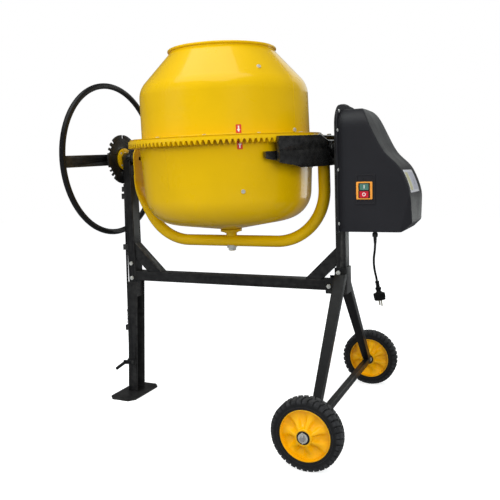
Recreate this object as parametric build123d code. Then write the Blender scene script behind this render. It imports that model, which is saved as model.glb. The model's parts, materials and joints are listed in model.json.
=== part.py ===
"""Tilting-drum concrete mixer, built as separate pieces. Millimetres, +Z up.

Working frame: the drum's axis crosses the tilt axis at X = 0, Y = 0. +X points to the motor, -Y to the
side where the switch is, and Z = 0 is the ground. Tilting parts are drawn about the crossing point of
the two axes and then put on the stand. Every piece is moved by ORIGIN_X when it is written, so that
the part's origin is at the middle of its footprint.
"""
import math
import os

from build123d import *

# ---------------------------------------------------------------- driving dimensions
ORIGIN_X = 81.35        # middle of the footprint, measured from the drum's axis
TILT_Z = 953.2          # height of the tilt axis
LEAN = 2.05             # the drum stands leaning this much towards -Y, degrees
RUNNING = 0.05          # radial clearance of every shaft in its bearing

POST_X_LEFT = -436.3    # stand
POST_X_RIGHT = 434.4
POST_WIDE = 35.0        # along X
POST_DEEP = 50.0        # along Y
POST_WALL = 2.5
POST_FOOT = 462.0
BAR_LOW = 468.0         # crossbar
BAR_HIGH = 506.0
BAR_DEEP = 48.0
BRACE_DEEP = 40.0
BRACE_ON_POST = (560.0, 619.0)
BRACE_ON_BAR = (56.0, 116.0)

LEG_WIDE = 44.5         # left leg, a C-channel
LEG_DEEP = 53.0
LEG_WALL = 3.0
LEG_FOOT_X = -462.0
LEG_TOP_X = -436.0
PLATE_THICK = 6.0       # foot plate
PLATE_SIZE = (118.0, 198.0)
PLATE_CENTRE = (-456.0, -21.0)
LEG_LEAN = math.degrees(math.atan2(LEG_TOP_X - LEG_FOOT_X, POST_FOOT))

AXLE_X = 431.4          # wheels
AXLE_Z = 111.5
AXLE_R = 8.0
AXLE_TUBE = 22.0
AXLE_TUBE_HALF = 352.0
WHEEL_R = 111.5
WHEEL_MID_Y = 391.0
TYRE_WIDE = 50.0
RIM_R = 79.0
BUSH_R = 21.0
HUB_HALF = 35.5
AXLE_HALF = 437.5
SPLIT_PIN_R = 1.6
TREADS = 36

YOKE_X = 372.0          # yoke
YOKE_TUBE_R = 21.2
YOKE_TUBE_WALL = 3.0
YOKE_LOW = -320.0
YOKE_BEND = 189.0
BLOCK_LOW = -50.0
TILT_TUBE_R = 21.0
TILT_TUBE_BORE = 17.0
SLEEVE_R = 25.0
JOURNAL_R = 22.5
SHAFT_R = 10.0
SPINDLE_R = 15.0

WHEEL_X = -516.3        # handwheel
HAND_R = 289.9
HAND_TUBE_R = 11.0
SPOKE_HIGH = 44.0
SPOKE_THICK = 6.0
HANDWHEEL_BOLTS_Y = (-31, 31)
DISC_X = -467.7         # lock disc
DISC_R = 96.4
DISC_THICK = 8.0
NOTCH_WIDE = 12.0
NOTCH_DEEP = 14.0
LOCK_ANGLES = (0, 44, 56, 67, 108, 121, 136, 180, -44, -56, -67, -108, -121, -136)

GUARD_LOW = -50.0       # guard over the gears
GUARD_SPLIT = 6.0
GUARD_HIGH = 53.0
GUARD_WALL = 2.5
GUARD_END = 410.0
GUARD_SCREW_R = 3.0
GUARD_SCREWS_HIGH = [(377, -50), (377, 50), (386, 30)]
GUARD_SCREWS_LOW = [(348, -66), (348, 66)]

MOUTH_R = 190.0         # drum
MOUTH_H = 374.0
UPPER_R = 306.0
SHOULDER_H = 238.0
LOWER_R = 317.0
LOWER_R2 = 301.0
FLOOR_H = -274.0
FLOOR_EDGE_H = -226.0
SHEET = 3.0
RING_R = 354.5
RING_LOW = 48.5
RING_HIGH = 59.0
FLANGE_R = 349.0
SEAM_HIGH = RING_HIGH + 2 * SHEET
BLADE_BOLTS = [         # azimuth, radius and height on the outside, and the wall's slope there
    (-54.6, 307.1, -119.0, 3.2),
    (-14.6, 306.0, 74.0, -0.6),
    (-37.1, 265.5, 279.9, -42.6),
]
BLADE_WIDE = 50.0
BLADE_THICK = 5.0
BLADE_PATH = [(-54.6, 266.0, -119.0), (-14.6, 266.0, 74.0), (-37.1, 230.0, 262.0)]

RING_TEETH = 120        # bevel gears: both cones meet where the two axes cross
PINION_TEETH = 14
GEAR_R = 340.0
PITCH_H = GEAR_R * PINION_TEETH / RING_TEETH
ADDENDUM = 5.0
DEDENDUM = 6.4
HALF_TOOTH = 3.5
FLANK = math.tan(math.radians(20))

COVER_X = 457.0         # drive housing
COVER_OUT = 690.0
COVER_HALF = 118.0
COVER_TOP = 1096.0
COVER_LOW = 684.0
COVER_WALL = 3.0
FLANGE_HALF = 137.0
FLANGE_X = 453.0
MOTOR_Z = 768.0
MOTOR_R = 60.0
HOUSING_BOLTS = [(0.0, 724.0), (0.0, 850.0), (0.0, 991.0)]
PULLEY_X = 484.0
PULLEY_WIDE = 16.0
PULLEY_R = 108.0
SMALL_PULLEY_R = PULLEY_R / 6.5
SWITCH_X = 545.0
SWITCH_Z = 818.0
SWITCH_WIDE = 52.0
SWITCH_HIGH = 56.0

ROD_TOP = (-468.0, 845.0)   # latch rod, X and Z of its ends
ROD_FOOT = (-488.0, 126.0)
ROD_R = 4.0
PEDAL_PIVOT = (-447.0, 131.0)
PEDAL_TIP = (-506.0, -63.0, 109.0)
PEDAL_R = 6.5

CORD_R = 3.75           # mains cord
CORD_ROUTE = [
    (572, -95, 660),
    (572, -95, 630),
    (567, -98, 598),
    (568, -96, 564),
    (575, -94, 532),
    (580, -94, 500),
]


# ---------------------------------------------------------------- helpers
def save(name, shape):
    """Write one node, moved to the part's own origin."""
    export_step(Pos(-ORIGIN_X, 0, 0) * shape, f"parts/{name}.step")


def on_yoke(shape):
    """Put a piece drawn about the axes' crossing point on the stand, leaning as the drum does."""
    return Pos(0, 0, TILT_Z) * Rot(LEAN, 0, 0) * shape


def rod_x(radius, x0, x1, y=0.0, z=0.0):
    return Pos((x0 + x1) / 2, y, z) * Rot(0, 90, 0) * Cylinder(radius, abs(x1 - x0))


def rod_y(radius, y0, y1, x=0.0, z=0.0):
    return Pos(x, (y0 + y1) / 2, z) * Rot(90, 0, 0) * Cylinder(radius, abs(y1 - y0))


def rod_z(radius, z0, z1, x=0.0, y=0.0):
    return Pos(x, y, (z0 + z1) / 2) * Cylinder(radius, abs(z1 - z0))


def block(x, y, z):
    """A box from its (low, high) pairs."""
    centre = Pos((x[0] + x[1]) / 2, (y[0] + y[1]) / 2, (z[0] + z[1]) / 2)
    return centre * Box(x[1] - x[0], y[1] - y[0], z[1] - z[0])


def slab_xz(points, y0, y1):
    """A flat outline in X and Z, as thick as y0 to y1."""
    face = make_face(Polyline([(x, y0, z) for x, z in points], close=True))
    return extrude(face, amount=abs(y1 - y0), dir=(0, 1 if y1 > y0 else -1, 0))


def turned(points):
    """A solid of revolution about Z from its outline of (radius, height)."""
    face = make_face(Polyline([(r, 0, h) for r, h in points], close=True))
    return revolve(face, Axis.Z)


def hex_screw(shank_r, length, head_r=None, head_h=None):
    """A screw along +Z, whose head's underside is at the origin; the shank runs down."""
    head_r = head_r or 1.8 * shank_r
    head_h = head_h or 1.3 * shank_r
    head = extrude(RegularPolygon(head_r, 6), amount=head_h)
    head &= turned([(0, 0), (head_r, 0), (head_r, 0.7 * head_h), (0.8 * head_r, head_h), (0, head_h)])
    return head + rod_z(shank_r, -length, 0)


def together(shapes):
    """Separate solids of one node."""
    return Compound(children=[s for shape in shapes for s in shape.solids()])


# ---------------------------------------------------------------- stand
def post(x, top):
    outer = block((x - POST_WIDE / 2, x + POST_WIDE / 2), (-POST_DEEP / 2, POST_DEEP / 2), (POST_FOOT, top))
    outer = fillet(outer.edges().filter_by(Axis.Z), 4)
    inner_x = POST_WIDE / 2 - POST_WALL
    inner_y = POST_DEEP / 2 - POST_WALL
    return outer - block((x - inner_x, x + inner_x), (-inner_y, inner_y), (POST_FOOT - 1, top + 1))


def left_post():
    body = post(POST_X_LEFT, TILT_Z - 4)
    return body - rod_x(SLEEVE_R, -470, -400, z=TILT_Z)


def left_bearing():
    half = POST_WIDE / 2
    ends = (POST_X_LEFT - half, POST_X_LEFT + half)
    sleeve = rod_x(SLEEVE_R, *ends, z=TILT_Z) - rod_x(TILT_TUBE_R + RUNNING, -460, -410, z=TILT_Z)
    nipple = rod_z(3.5, TILT_Z + SLEEVE_R - 2, TILT_Z + SLEEVE_R + 6, x=POST_X_LEFT)
    return sleeve + (nipple - rod_x(SLEEVE_R - 1, *ends, z=TILT_Z))


def right_post():
    body = post(POST_X_RIGHT, TILT_Z + 46) - rod_x(31, 400, 470, z=TILT_Z)
    for y, z in HOUSING_BOLTS:
        body -= rod_x(4, POST_X_RIGHT, 470, y=y, z=z)
    return body + (post_cap() - rod_x(4, POST_X_RIGHT, 470, y=HOUSING_BOLTS[-1][0], z=HOUSING_BOLTS[-1][1]))


def right_bearing():
    sleeve = rod_x(31, 413.0, 452.6, z=TILT_Z)
    return sleeve - rod_x(JOURNAL_R + RUNNING, 400, 470, z=TILT_Z)


def post_cap():
    top = TILT_Z + 46
    lid = block((POST_X_RIGHT - 17, POST_X_RIGHT + 17), (-24.5, 24.5), (top, top + 3))
    lid = chamfer(lid.edges().group_by(Axis.Z)[-1], 1.2)
    return lid + block((POST_X_RIGHT - 14.5, POST_X_RIGHT + 14.5), (-22, 22), (top - 12, top))


def crossbar():
    x0 = POST_X_LEFT + POST_WIDE / 2
    x1 = POST_X_RIGHT - POST_WIDE / 2
    half = BAR_DEEP / 2
    outer = block((x0, x1), (-half, half), (BAR_LOW, BAR_HIGH))
    outer = fillet(outer.edges().filter_by(Axis.X), 4)
    w = POST_WALL
    return outer - block((x0 - 1, x1 + 1), (w - half, half - w), (BAR_LOW + w, BAR_HIGH - w))


def brace(side):
    """A box-section brace in the corner of a post and the crossbar; side is -1 or +1."""
    post_x = abs(POST_X_LEFT) - POST_WIDE / 2 if side < 0 else POST_X_RIGHT - POST_WIDE / 2
    low, high = BRACE_ON_POST
    near, far = BRACE_ON_BAR
    wall = 1.6 * POST_WALL

    def outline(inset):
        slide = inset * 1.4
        return [
            (side * post_x, low + slide),
            (side * (post_x - near - slide), BAR_HIGH),
            (side * (post_x - far + slide), BAR_HIGH),
            (side * post_x, high - slide),
        ]

    half = BRACE_DEEP / 2
    solid = slab_xz(outline(0), -half, half)
    return solid - slab_xz(outline(wall), wall - half, half - wall)


def corner_bracket():
    """Two cheek plates and a side plate round the foot of the right post."""
    edge = POST_X_RIGHT + POST_WIDE / 2
    cheek = [(379, 458), (edge + 4, 458), (edge + 4, 551), (413, 551), (413, 514), (379, 514)]
    y = POST_DEEP / 2
    front = slab_xz(cheek, -y - 4, -y)
    rear = slab_xz(cheek, y, y + 4)
    side = block((edge, edge + 4), (-y, y), (458, 551))
    floor = block((379, edge), (-y, y), (458, POST_FOOT))
    return front + rear + side + floor


def leg_x(height):
    """X of the leaning leg's centre line at a height."""
    return LEG_FOOT_X + (LEG_TOP_X - LEG_FOOT_X) * height / POST_FOOT


def left_leg():
    """C-channel, open towards the wheels, leaning slightly outwards."""
    length = 1.2 * POST_FOOT
    half_y = LEG_DEEP / 2
    outer = Box(LEG_WIDE, LEG_DEEP, length)
    outer = fillet(outer.edges().filter_by(Axis.Z).group_by(Axis.X)[0], 4)
    groove = Pos(LEG_WALL, 0, 0) * Box(LEG_WIDE, LEG_DEEP - 2 * LEG_WALL, length)
    channel = Pos(leg_x(POST_FOOT / 2), 0, POST_FOOT / 2) * Rot(0, LEG_LEAN, 0) * (outer - groove)
    keep = block((-600, -300), (-60, 60), (PLATE_THICK, POST_FOOT - 0.5))
    pivot_hole = rod_y(5.0, -half_y - 5, -half_y + 8, x=PEDAL_PIVOT[0], z=PEDAL_PIVOT[1])
    return (channel & keep) - pivot_hole


def leg_insert():
    """A short box section that joins the leg to the post."""
    x = POST_X_LEFT
    outer = block((x - 14.5, x + 14.5), (-21.9, 21.9), (400, 566))
    return outer - block((x - 11.5, x + 11.5), (-18.9, 18.9), (399, 567))


def foot_plate():
    centre = Pos(PLATE_CENTRE[0], PLATE_CENTRE[1], PLATE_THICK / 2)
    plate = Box(PLATE_SIZE[0], PLATE_SIZE[1], PLATE_THICK)
    plate = chamfer(plate.edges().filter_by(Axis.Z), 22)
    return centre * plate


def leg_bolts():
    """Two bolts through the left post, two through the corner bracket, with nuts behind."""
    places = [(POST_X_LEFT, 537, 25), (POST_X_LEFT, 478, 25), (427, 533, 29), (392, 484, 29)]
    out = []
    for x, z, y in places:
        out.append(Pos(x, -y, z) * Rot(90, 0, 0) * hex_screw(5, 2 * y + 12, 8.5, 6))
        nut = Pos(x, y, z) * Rot(-90, 0, 0) * extrude(RegularPolygon(9, 6), amount=8)
        out.append(nut - rod_y(5, y - 1, y + 20, x=x, z=z))
    return together(out)


def bolt_clearance():
    """The holes that the leg bolts need."""
    places = [(POST_X_LEFT, 537), (POST_X_LEFT, 478), (427, 533), (392, 484)]
    return [rod_y(5, -60, 60, x=x, z=z) for x, z in places]


def wheel_leg(side):
    """A tapered box-section leg from the corner bracket to the axle tube; side is -1 or +1."""
    top = Vector(438 if side < 0 else 420, side * 20, 550)
    foot = Vector(432, side * 350, 100)
    run = foot - top
    across = Vector(1, 0, 0) - run.normalized() * run.normalized().X

    def tube(extra):
        ends = []
        for at, wide in ((top, 39.0), (foot, 25.0)):
            plane = Plane(at, x_dir=across, z_dir=run)
            ends.append(plane * Rectangle(wide - extra, 26.0 - extra))
        return loft(ends)

    leg = tube(0) - tube(5)
    y = POST_DEEP / 2 + 4
    keep = block((380, 500), (min(side * y, side * 400), max(side * y, side * 400)), (AXLE_Z + AXLE_TUBE / 2, 530))
    return leg & keep


def axle_tube():
    half = AXLE_TUBE / 2
    ends = (-AXLE_TUBE_HALF, AXLE_TUBE_HALF)
    outer = block((AXLE_X - half, AXLE_X + half), ends, (AXLE_Z - half, AXLE_Z + half))
    outer = fillet(outer.edges().filter_by(Axis.Y), 2)
    return outer - rod_y(AXLE_R, -400, 400, x=AXLE_X, z=AXLE_Z)


def axle():
    rod = rod_y(AXLE_R, -AXLE_HALF, AXLE_HALF, x=AXLE_X, z=AXLE_Z)
    rod = chamfer(rod.edges().filter_by(GeomType.CIRCLE), 1.5)
    for y in (-AXLE_HALF + 4, AXLE_HALF - 4):
        rod -= rod_z(SPLIT_PIN_R, AXLE_Z - 20, AXLE_Z + 20, x=AXLE_X, y=y)
    return rod


def axle_washers():
    """A washer on each side of each wheel's hub."""
    out = []
    for side in (-1, 1):
        for y in (AXLE_TUBE_HALF, WHEEL_MID_Y + HUB_HALF + 1.1):
            ring = rod_y(15, y, y + 2.4, x=AXLE_X, z=AXLE_Z)
            ring -= rod_y(AXLE_R, y - 1, y + 5, x=AXLE_X, z=AXLE_Z)
            out.append(ring if side > 0 else mirror(ring, Plane.XZ))
    return together(out)


def split_pins():
    """A split pin through each end of the axle."""
    out = []
    for y in (-AXLE_HALF + 4, AXLE_HALF - 4):
        pin = rod_z(SPLIT_PIN_R, AXLE_Z - 15, AXLE_Z + 13, x=AXLE_X, y=y)
        eye = Pos(AXLE_X, y, AXLE_Z + 15) * Rot(90, 0, 0) * Torus(3.0, 1.4)
        out.append(pin + eye)
    return together(out)


# ---------------------------------------------------------------- wheels
def tyre(side):
    """Solid rubber tyre with shoulder blocks, turned about its own axle."""
    half = TYRE_WIDE / 2
    core = turned([
        (RIM_R, -half + 4), (RIM_R + 4, -half), (WHEEL_R - 14, -half), (WHEEL_R - 5, -half + 6),
        (WHEEL_R - 4, 0), (WHEEL_R - 5, half - 6), (WHEEL_R - 14, half), (RIM_R + 4, half), (RIM_R, half - 4),
    ])
    shell = turned([
        (WHEEL_R - 16, -half), (WHEEL_R - 8, -half), (WHEEL_R, -half + 7), (WHEEL_R, half - 7),
        (WHEEL_R - 8, half), (WHEEL_R - 16, half),
    ])
    pitch = 360 / TREADS
    lugs = []
    for k in range(TREADS):
        for row, phase in ((-1, 0.0), (1, 0.5)):
            at = Rot(0, 0, 90 + (k + phase) * pitch) * Pos(WHEEL_R - 5, 0, row * (half / 2 + 1))
            lugs.append(at * Box(24, 11.5, half - 2))
    tread = shell & lugs[0].fuse(*lugs[1:])
    whole = core.fuse(*tread.solids())
    return Pos(AXLE_X, side * WHEEL_MID_Y, AXLE_Z) * Rot(90, 0, 0) * whole


def wheel_disc(side):
    """Moulded wheel centre: a thin rim, a web that rises to a long hub, and seven ribs on each face."""
    half = TYRE_WIDE / 2
    face = [
        (BUSH_R, HUB_HALF), (BUSH_R + 4, HUB_HALF), (BUSH_R + 7, HUB_HALF - 3), (BUSH_R + 20, 15), (RIM_R - 6, 8),
        (RIM_R - 2.5, 9), (RIM_R - 2.5, half - 1), (RIM_R - 0.2, half - 1),
    ]
    body = turned(face + [(r, -h) for r, h in reversed(face)])
    ribs = []
    for k in range(7):
        for side_of_web in (-1, 1):
            inner = Plane((BUSH_R + 5, 0, side_of_web * 18), x_dir=(0, 1, 0), z_dir=(1, 0, 0))
            outer = Plane((RIM_R - 4, 0, side_of_web * 7), x_dir=(0, 1, 0), z_dir=(1, 0, 0))
            rib = loft([inner * Ellipse(5, 13), outer * Ellipse(11, 6)])
            ribs.append(Rot(0, 0, 22 + 360 / 7 * k) * rib)
    whole = body.fuse(*ribs)
    return Pos(AXLE_X, side * WHEEL_MID_Y, AXLE_Z) * Rot(90, 0, 0) * whole


def wheel_bush(side):
    """Black nylon bush that runs on the axle."""
    half = HUB_HALF + 1
    body = turned([
        (AXLE_R + RUNNING, -half), (BUSH_R - 2, -half), (BUSH_R - 0.1, -half + 2), (BUSH_R - 0.1, half - 2),
        (BUSH_R - 2, half), (AXLE_R + RUNNING, half),
    ])
    return Pos(AXLE_X, side * WHEEL_MID_Y, AXLE_Z) * Rot(90, 0, 0) * body


# ---------------------------------------------------------------- yoke (about the crossing point)
def yoke_path():
    """The centre line of the bent tube."""
    low = YOKE_LOW
    corners = [(-YOKE_X, 0, BLOCK_LOW - 12), (-YOKE_X, 0, low), (YOKE_X, 0, low), (YOKE_X, 0, BLOCK_LOW)]
    return FilletPolyline(corners, radius=YOKE_BEND)


def yoke_tube():
    path = yoke_path()
    start = Plane((-YOKE_X, 0, BLOCK_LOW - 12), z_dir=(0, 0, -1))
    outer = sweep(start * Circle(YOKE_TUBE_R), path=path)
    inner = sweep(start * Circle(YOKE_TUBE_R - YOKE_TUBE_WALL), path=path)
    tube = outer - inner
    return tube - rod_z(10, YOKE_LOW - 40, YOKE_LOW + 40) - yoke_left_plate()


def yoke_left_plate():
    plate = block((-395, -387), (-42, 42), (-112, 46))
    plate = fillet(plate.edges().filter_by(Axis.X).group_by(Axis.Z)[-1], 26)
    plate = chamfer(plate.edges().filter_by(Axis.X).group_by(Axis.Z)[0], 22)
    return plate - rod_x(TILT_TUBE_R, -400, -380)


def tilt_tube():
    return rod_x(TILT_TUBE_R, -505, -387) - rod_x(TILT_TUBE_BORE, -505.5, -386)


def hub_flange():
    ring = rod_x(43, DISC_X + DISC_THICK / 2, -457.3) - rod_x(TILT_TUBE_R, -480, -440)
    for x, y, z in disc_bolt_places():
        ring -= rod_x(4, -480, -440, y=y, z=z)
    return ring


def disc_bolt_places():
    return [(DISC_X, 33 * math.cos(a), 33 * math.sin(a)) for a in (math.pi / 4 + k * math.pi / 2 for k in range(4))]


def lock_disc():
    """Notched disc; one notch is under the latch, and the rest are at the drum's working angles."""
    disc = rod_x(DISC_R, DISC_X - DISC_THICK / 2, DISC_X + DISC_THICK / 2)
    for angle in LOCK_ANGLES:
        notch = Pos(DISC_X, 0, -DISC_R) * Box(DISC_THICK + 2, NOTCH_WIDE, 2 * NOTCH_DEEP)
        disc -= Rot(-LEAN - angle, 0, 0) * notch
    disc -= rod_x(TILT_TUBE_R, -480, -440)
    for x, y, z in disc_bolt_places():
        disc -= rod_x(4, -480, -440, y=y, z=z)
    return disc


def disc_bolts():
    """Four screws through the lock disc, with their heads on the handwheel's side."""
    out = []
    for x, y, z in disc_bolt_places():
        at = Pos(DISC_X - DISC_THICK / 2, y, z) * Rot(0, -90, 0)
        out.append(at * hex_screw(4, 14.4))
    return together(out)


def handwheel_rim():
    return Pos(WHEEL_X, 0, 0) * Rot(0, 90, 0) * Torus(HAND_R, HAND_TUBE_R)


def handwheel_spoke():
    bar = block(
        (WHEEL_X - SPOKE_THICK / 2, WHEEL_X + SPOKE_THICK / 2),
        (-HAND_R, HAND_R),
        (-SPOKE_HIGH / 2, SPOKE_HIGH / 2),
    )
    for y in HANDWHEEL_BOLTS_Y:
        bar -= rod_x(5, -530, -500, y=y)
    return bar - Pos(WHEEL_X, 0, 0) * Rot(0, 90, 0) * Torus(HAND_R, HAND_TUBE_R)


def handwheel_hub():
    """Plate welded on the end of the tilt tube; the spoke bar is bolted to it."""
    hub = rod_x(40, WHEEL_X + SPOKE_THICK / 2, -505)
    for y in HANDWHEEL_BOLTS_Y:
        hub -= rod_x(5, -530, -500, y=y)
    return hub


def handwheel_bolts():
    out = []
    for y in HANDWHEEL_BOLTS_Y:
        at = Pos(WHEEL_X - SPOKE_THICK / 2, y, 0) * Rot(0, -90, 0)
        out.append(at * hex_screw(5, SPOKE_THICK + 8.3, 8.5, 6))
        nut = rod_x(8.5, -505, -499, y=y) - rod_x(5, -506, -498, y=y)
        out.append(nut)
    return together(out)


def pinion_block():
    """Cast bearing block on the right arm; a spigot under it fits in the tube."""
    body = block((357, 393), (-27, 27), (BLOCK_LOW, 31))
    body = fillet(body.edges().filter_by(Axis.X).group_by(Axis.Z)[-1], 18)
    spigot = rod_z(YOKE_TUBE_R - YOKE_TUBE_WALL, BLOCK_LOW - 30, BLOCK_LOW, x=YOKE_X)
    return body + spigot - rod_x(SHAFT_R + RUNNING, 340, 400)


def yoke_journal():
    """Journal sleeve that turns in the right post and carries the drive shaft."""
    sleeve = rod_x(JOURNAL_R, 393, 461)
    collar = rod_x(33, 393, 399)
    return sleeve + collar - rod_x(SHAFT_R + RUNNING, 380, 480)


def spindle():
    """Drum spindle: stands on the tube, with a shoulder under the drum's hub."""
    rod = rod_z(SPINDLE_R, -285, -232)
    shoulder = rod_z(20, YOKE_LOW + YOKE_TUBE_R - 3, -289)
    shoulder -= Pos(0, 0, YOKE_LOW) * Rot(0, 90, 0) * Cylinder(YOKE_TUBE_R, 100)
    thrust = rod_z(26, -289, -285)
    stud = rod_z(10, YOKE_LOW - 38, -285)
    thread = rod_z(10, -240, -216)
    return rod + shoulder + thrust + stud + thread


def spindle_nuts():
    """The nut and washer under the tube, and the castle nut inside the drum."""
    low = YOKE_LOW - YOKE_TUBE_R
    saddle = rod_z(19, low - 5, low + 6) - Pos(0, 0, YOKE_LOW) * Rot(0, 90, 0) * Cylinder(YOKE_TUBE_R, 100)
    nut = Pos(0, 0, low - 15) * extrude(RegularPolygon(16, 6), amount=10)
    top_washer = rod_z(21, -232, -229)
    top_nut = Pos(0, 0, -229) * extrude(RegularPolygon(16, 6), amount=10)
    bore = rod_z(10, -400, -200)
    return together([saddle - bore, nut - bore, top_washer - bore, top_nut - bore])


def guard_plan(inset):
    """Plan of the guard: wide against the drum, narrow at the post."""
    near = 286 + inset * 0.4
    return [
        (near, -200), (near, -214), (300, -226 + inset * 1.6), (GUARD_END - inset, -58 + inset * 0.4),
        (GUARD_END - inset, 58 - inset * 0.4), (300, 226 - inset * 1.6), (near, 214), (near, 200),
    ]


def prism(points, low, high):
    face = make_face(Polyline([(x, y, low) for x, y in points], close=True))
    return extrude(face, amount=high - low, dir=(0, 0, 1))


def guard_space():
    """Everything that must stay clear inside and beside the guard."""
    drum_wall = rod_z(322, -200, 200)
    gear_sweep = rod_z(359, 29, 200)
    arm = rod_z(YOKE_TUBE_R + 0.6, -200, 0, x=YOKE_X)
    bearing = block((356.6, 393.4), (-27.4, 27.4), (BLOCK_LOW - 1, 32))
    journal = rod_x(33.4, 385, 420)
    screws = [rod_z(GUARD_SCREW_R, GUARD_LOW - 20, GUARD_LOW + 20, x=x, y=y) for x, y in GUARD_SCREWS_LOW]
    screws += [rod_z(GUARD_SCREW_R, GUARD_HIGH - 20, GUARD_HIGH + 20, x=x, y=y) for x, y in GUARD_SCREWS_HIGH]
    return drum_wall.fuse(gear_sweep, arm, bearing, journal, *screws)


def guard_lower():
    """Lower shell: floor and walls round the pinion, and a tongue along the drum on each side."""
    shell = prism(guard_plan(0), GUARD_LOW, GUARD_SPLIT)
    shell -= prism(guard_plan(GUARD_WALL), GUARD_LOW + GUARD_WALL, GUARD_SPLIT + 1)
    shell = shell.fuse(guard_tongue(-1), guard_tongue(1)) - guard_space()
    slope = slab_xz([(200, -90), (200, 6), (246, -14), (330, -41), (345, GUARD_LOW), (345, -90)], -300, 300)
    return shell - slope


def guard_tongue(side):
    """A curved strip that follows the drum's wall beyond the shell."""
    sector = rod_z(342, -48, GUARD_SPLIT) - rod_z(322, -100, 100)
    reach = [(0, 0), (460, side * 460 * math.tan(math.radians(30))), (460, side * 460 * math.tan(math.radians(42)))]
    return sector & prism(reach, -48, GUARD_SPLIT)


def guard_upper():
    """Upper shell, bolted on the lower one; its end next to the post is bevelled."""
    shell = prism(guard_plan(0), GUARD_SPLIT, GUARD_HIGH)
    shell -= prism(guard_plan(GUARD_WALL), GUARD_SPLIT - 1, GUARD_HIGH - GUARD_WALL)
    bevel = slab_xz([(392, GUARD_HIGH + 1), (GUARD_END + 1, 32), (GUARD_END + 1, GUARD_HIGH + 1)], -100, 100)
    return shell - bevel - guard_space()


def guard_bolts():
    """Screws that hold the shells to each other and to the bearing block."""
    out = []
    for x, y in GUARD_SCREWS_HIGH:
        out.append(Pos(x, y, GUARD_HIGH) * hex_screw(GUARD_SCREW_R, 2.9, 6.5, 5))
    for x, y in GUARD_SCREWS_LOW:
        out.append(Pos(x, y, GUARD_LOW) * Rot(180, 0, 0) * hex_screw(GUARD_SCREW_R, 2.9, 6.5, 5))
    return together(out)


# ---------------------------------------------------------------- drum (about the crossing point)
def profile_wire(corners, radii):
    """A chain of straight runs with rounded corners, in radius and height."""
    return FilletPolyline([(r, 0, h) for r, h in corners], radius=radii)


def sheet_of_revolution(corners, radii):
    """Sheet metal turned from its outer line."""
    outer = profile_wire(corners, radii)
    inner_corners = inward(corners)
    inner = profile_wire(inner_corners, [max(r - SHEET, 2) for r in radii])
    ends = [Line(outer @ 0, inner @ 0), Line(outer @ 1, inner @ 1)]
    face = make_face([*outer.edges(), ends[1], *inner.edges(), ends[0]])
    return revolve(face, Axis.Z)


def inward(corners):
    """The same line moved SHEET towards the axis side."""
    moved = []
    count = len(corners)
    normals = []
    for (r0, h0), (r1, h1) in zip(corners[:-1], corners[1:]):
        size = math.hypot(r1 - r0, h1 - h0)
        normals.append(((h1 - h0) / size, -(r1 - r0) / size))
    for k in range(count):
        a = normals[max(k - 1, 0)]
        b = normals[min(k, count - 2)]
        scale = SHEET / (1 + a[0] * b[0] + a[1] * b[1])
        moved.append((corners[k][0] + (a[0] + b[0]) * scale, corners[k][1] + (a[1] + b[1]) * scale))
    return moved


def upper_drum():
    """Upper half: cylinder, shoulder and a short neck with a rolled lip."""
    low = RING_HIGH + SHEET
    corners = [(MOUTH_R, MOUTH_H), (MOUTH_R, MOUTH_H - 12), (UPPER_R - 2, SHOULDER_H), (UPPER_R, low)]
    body = sheet_of_revolution(corners, [8, 80])
    flange = turned([(UPPER_R - SHEET, low), (FLANGE_R, low), (FLANGE_R, low + SHEET), (UPPER_R - SHEET, low + SHEET)])
    lip = Pos(0, 0, MOUTH_H - 3) * Torus(MOUTH_R + 1.5, 4.5)
    return (body + flange + lip).clean() - bolt_holes(seam_places(), 4) - blade_screw_holes()


def lower_drum():
    """Lower half: a slightly tapered tub with a deep corner and a shallow cone for a floor."""
    corners = [(LOWER_R, RING_HIGH), (LOWER_R2, FLOOR_EDGE_H), (32, FLOOR_H)]
    body = sheet_of_revolution(corners, [104])
    flange = turned([
        (LOWER_R - SHEET, RING_HIGH), (FLANGE_R, RING_HIGH), (FLANGE_R, RING_HIGH + SHEET),
        (LOWER_R - SHEET, RING_HIGH + SHEET),
    ])
    return (body + flange).clean() - bolt_holes(seam_places(), 4) - blade_screw_holes()


def seam_places():
    return [(334 * math.cos(a), 334 * math.sin(a)) for a in (math.radians(15 + 30 * k) for k in range(12))]


def bolt_holes(places, radius):
    holes = [rod_z(radius, 0, 200, x=x, y=y) for x, y in places]
    return holes[0].fuse(*holes[1:])


def seam_bolts():
    """Bolts through both drum flanges and the ring gear."""
    out = []
    for x, y in seam_places():
        out.append(Pos(x, y, SEAM_HIGH) * hex_screw(4, SEAM_HIGH - RING_LOW - 2, 6.5, 2.2))
    return together(out)


def ring_gear():
    """Toothed ring under the seam; the teeth point down and run towards the gears' common apex."""
    ring = turned([(321, RING_LOW), (RING_R, RING_LOW), (RING_R, RING_HIGH), (321, RING_HIGH)])
    tooth = ring_tooth()
    pitch = 360 / RING_TEETH
    teeth = [Rot(0, 0, (k + 0.5) * pitch) * tooth for k in range(RING_TEETH)]
    gear = ring.fuse(*teeth)
    pockets = [rod_z(4, RING_LOW + 1.5, RING_HIGH + 1, x=x, y=y) for x, y in seam_places()]
    return gear - pockets[0].fuse(*pockets[1:])


def ring_tooth():
    """One tooth of the ring, at azimuth 0."""
    ends = []
    for r in (324.0, RING_R):
        s = r / GEAR_R
        tip = (PITCH_H - ADDENDUM) * s
        root = RING_LOW + 1.0
        half_tip = (HALF_TOOTH - ADDENDUM * FLANK) * s
        half_root = (HALF_TOOTH + (root / s - PITCH_H) * FLANK) * s
        points = [(r, -half_tip, tip), (r, half_tip, tip), (r, half_root, root), (r, -half_root, root)]
        ends.append(make_face(Polyline(points, close=True)))
    return loft(ends, ruled=True)


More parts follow.
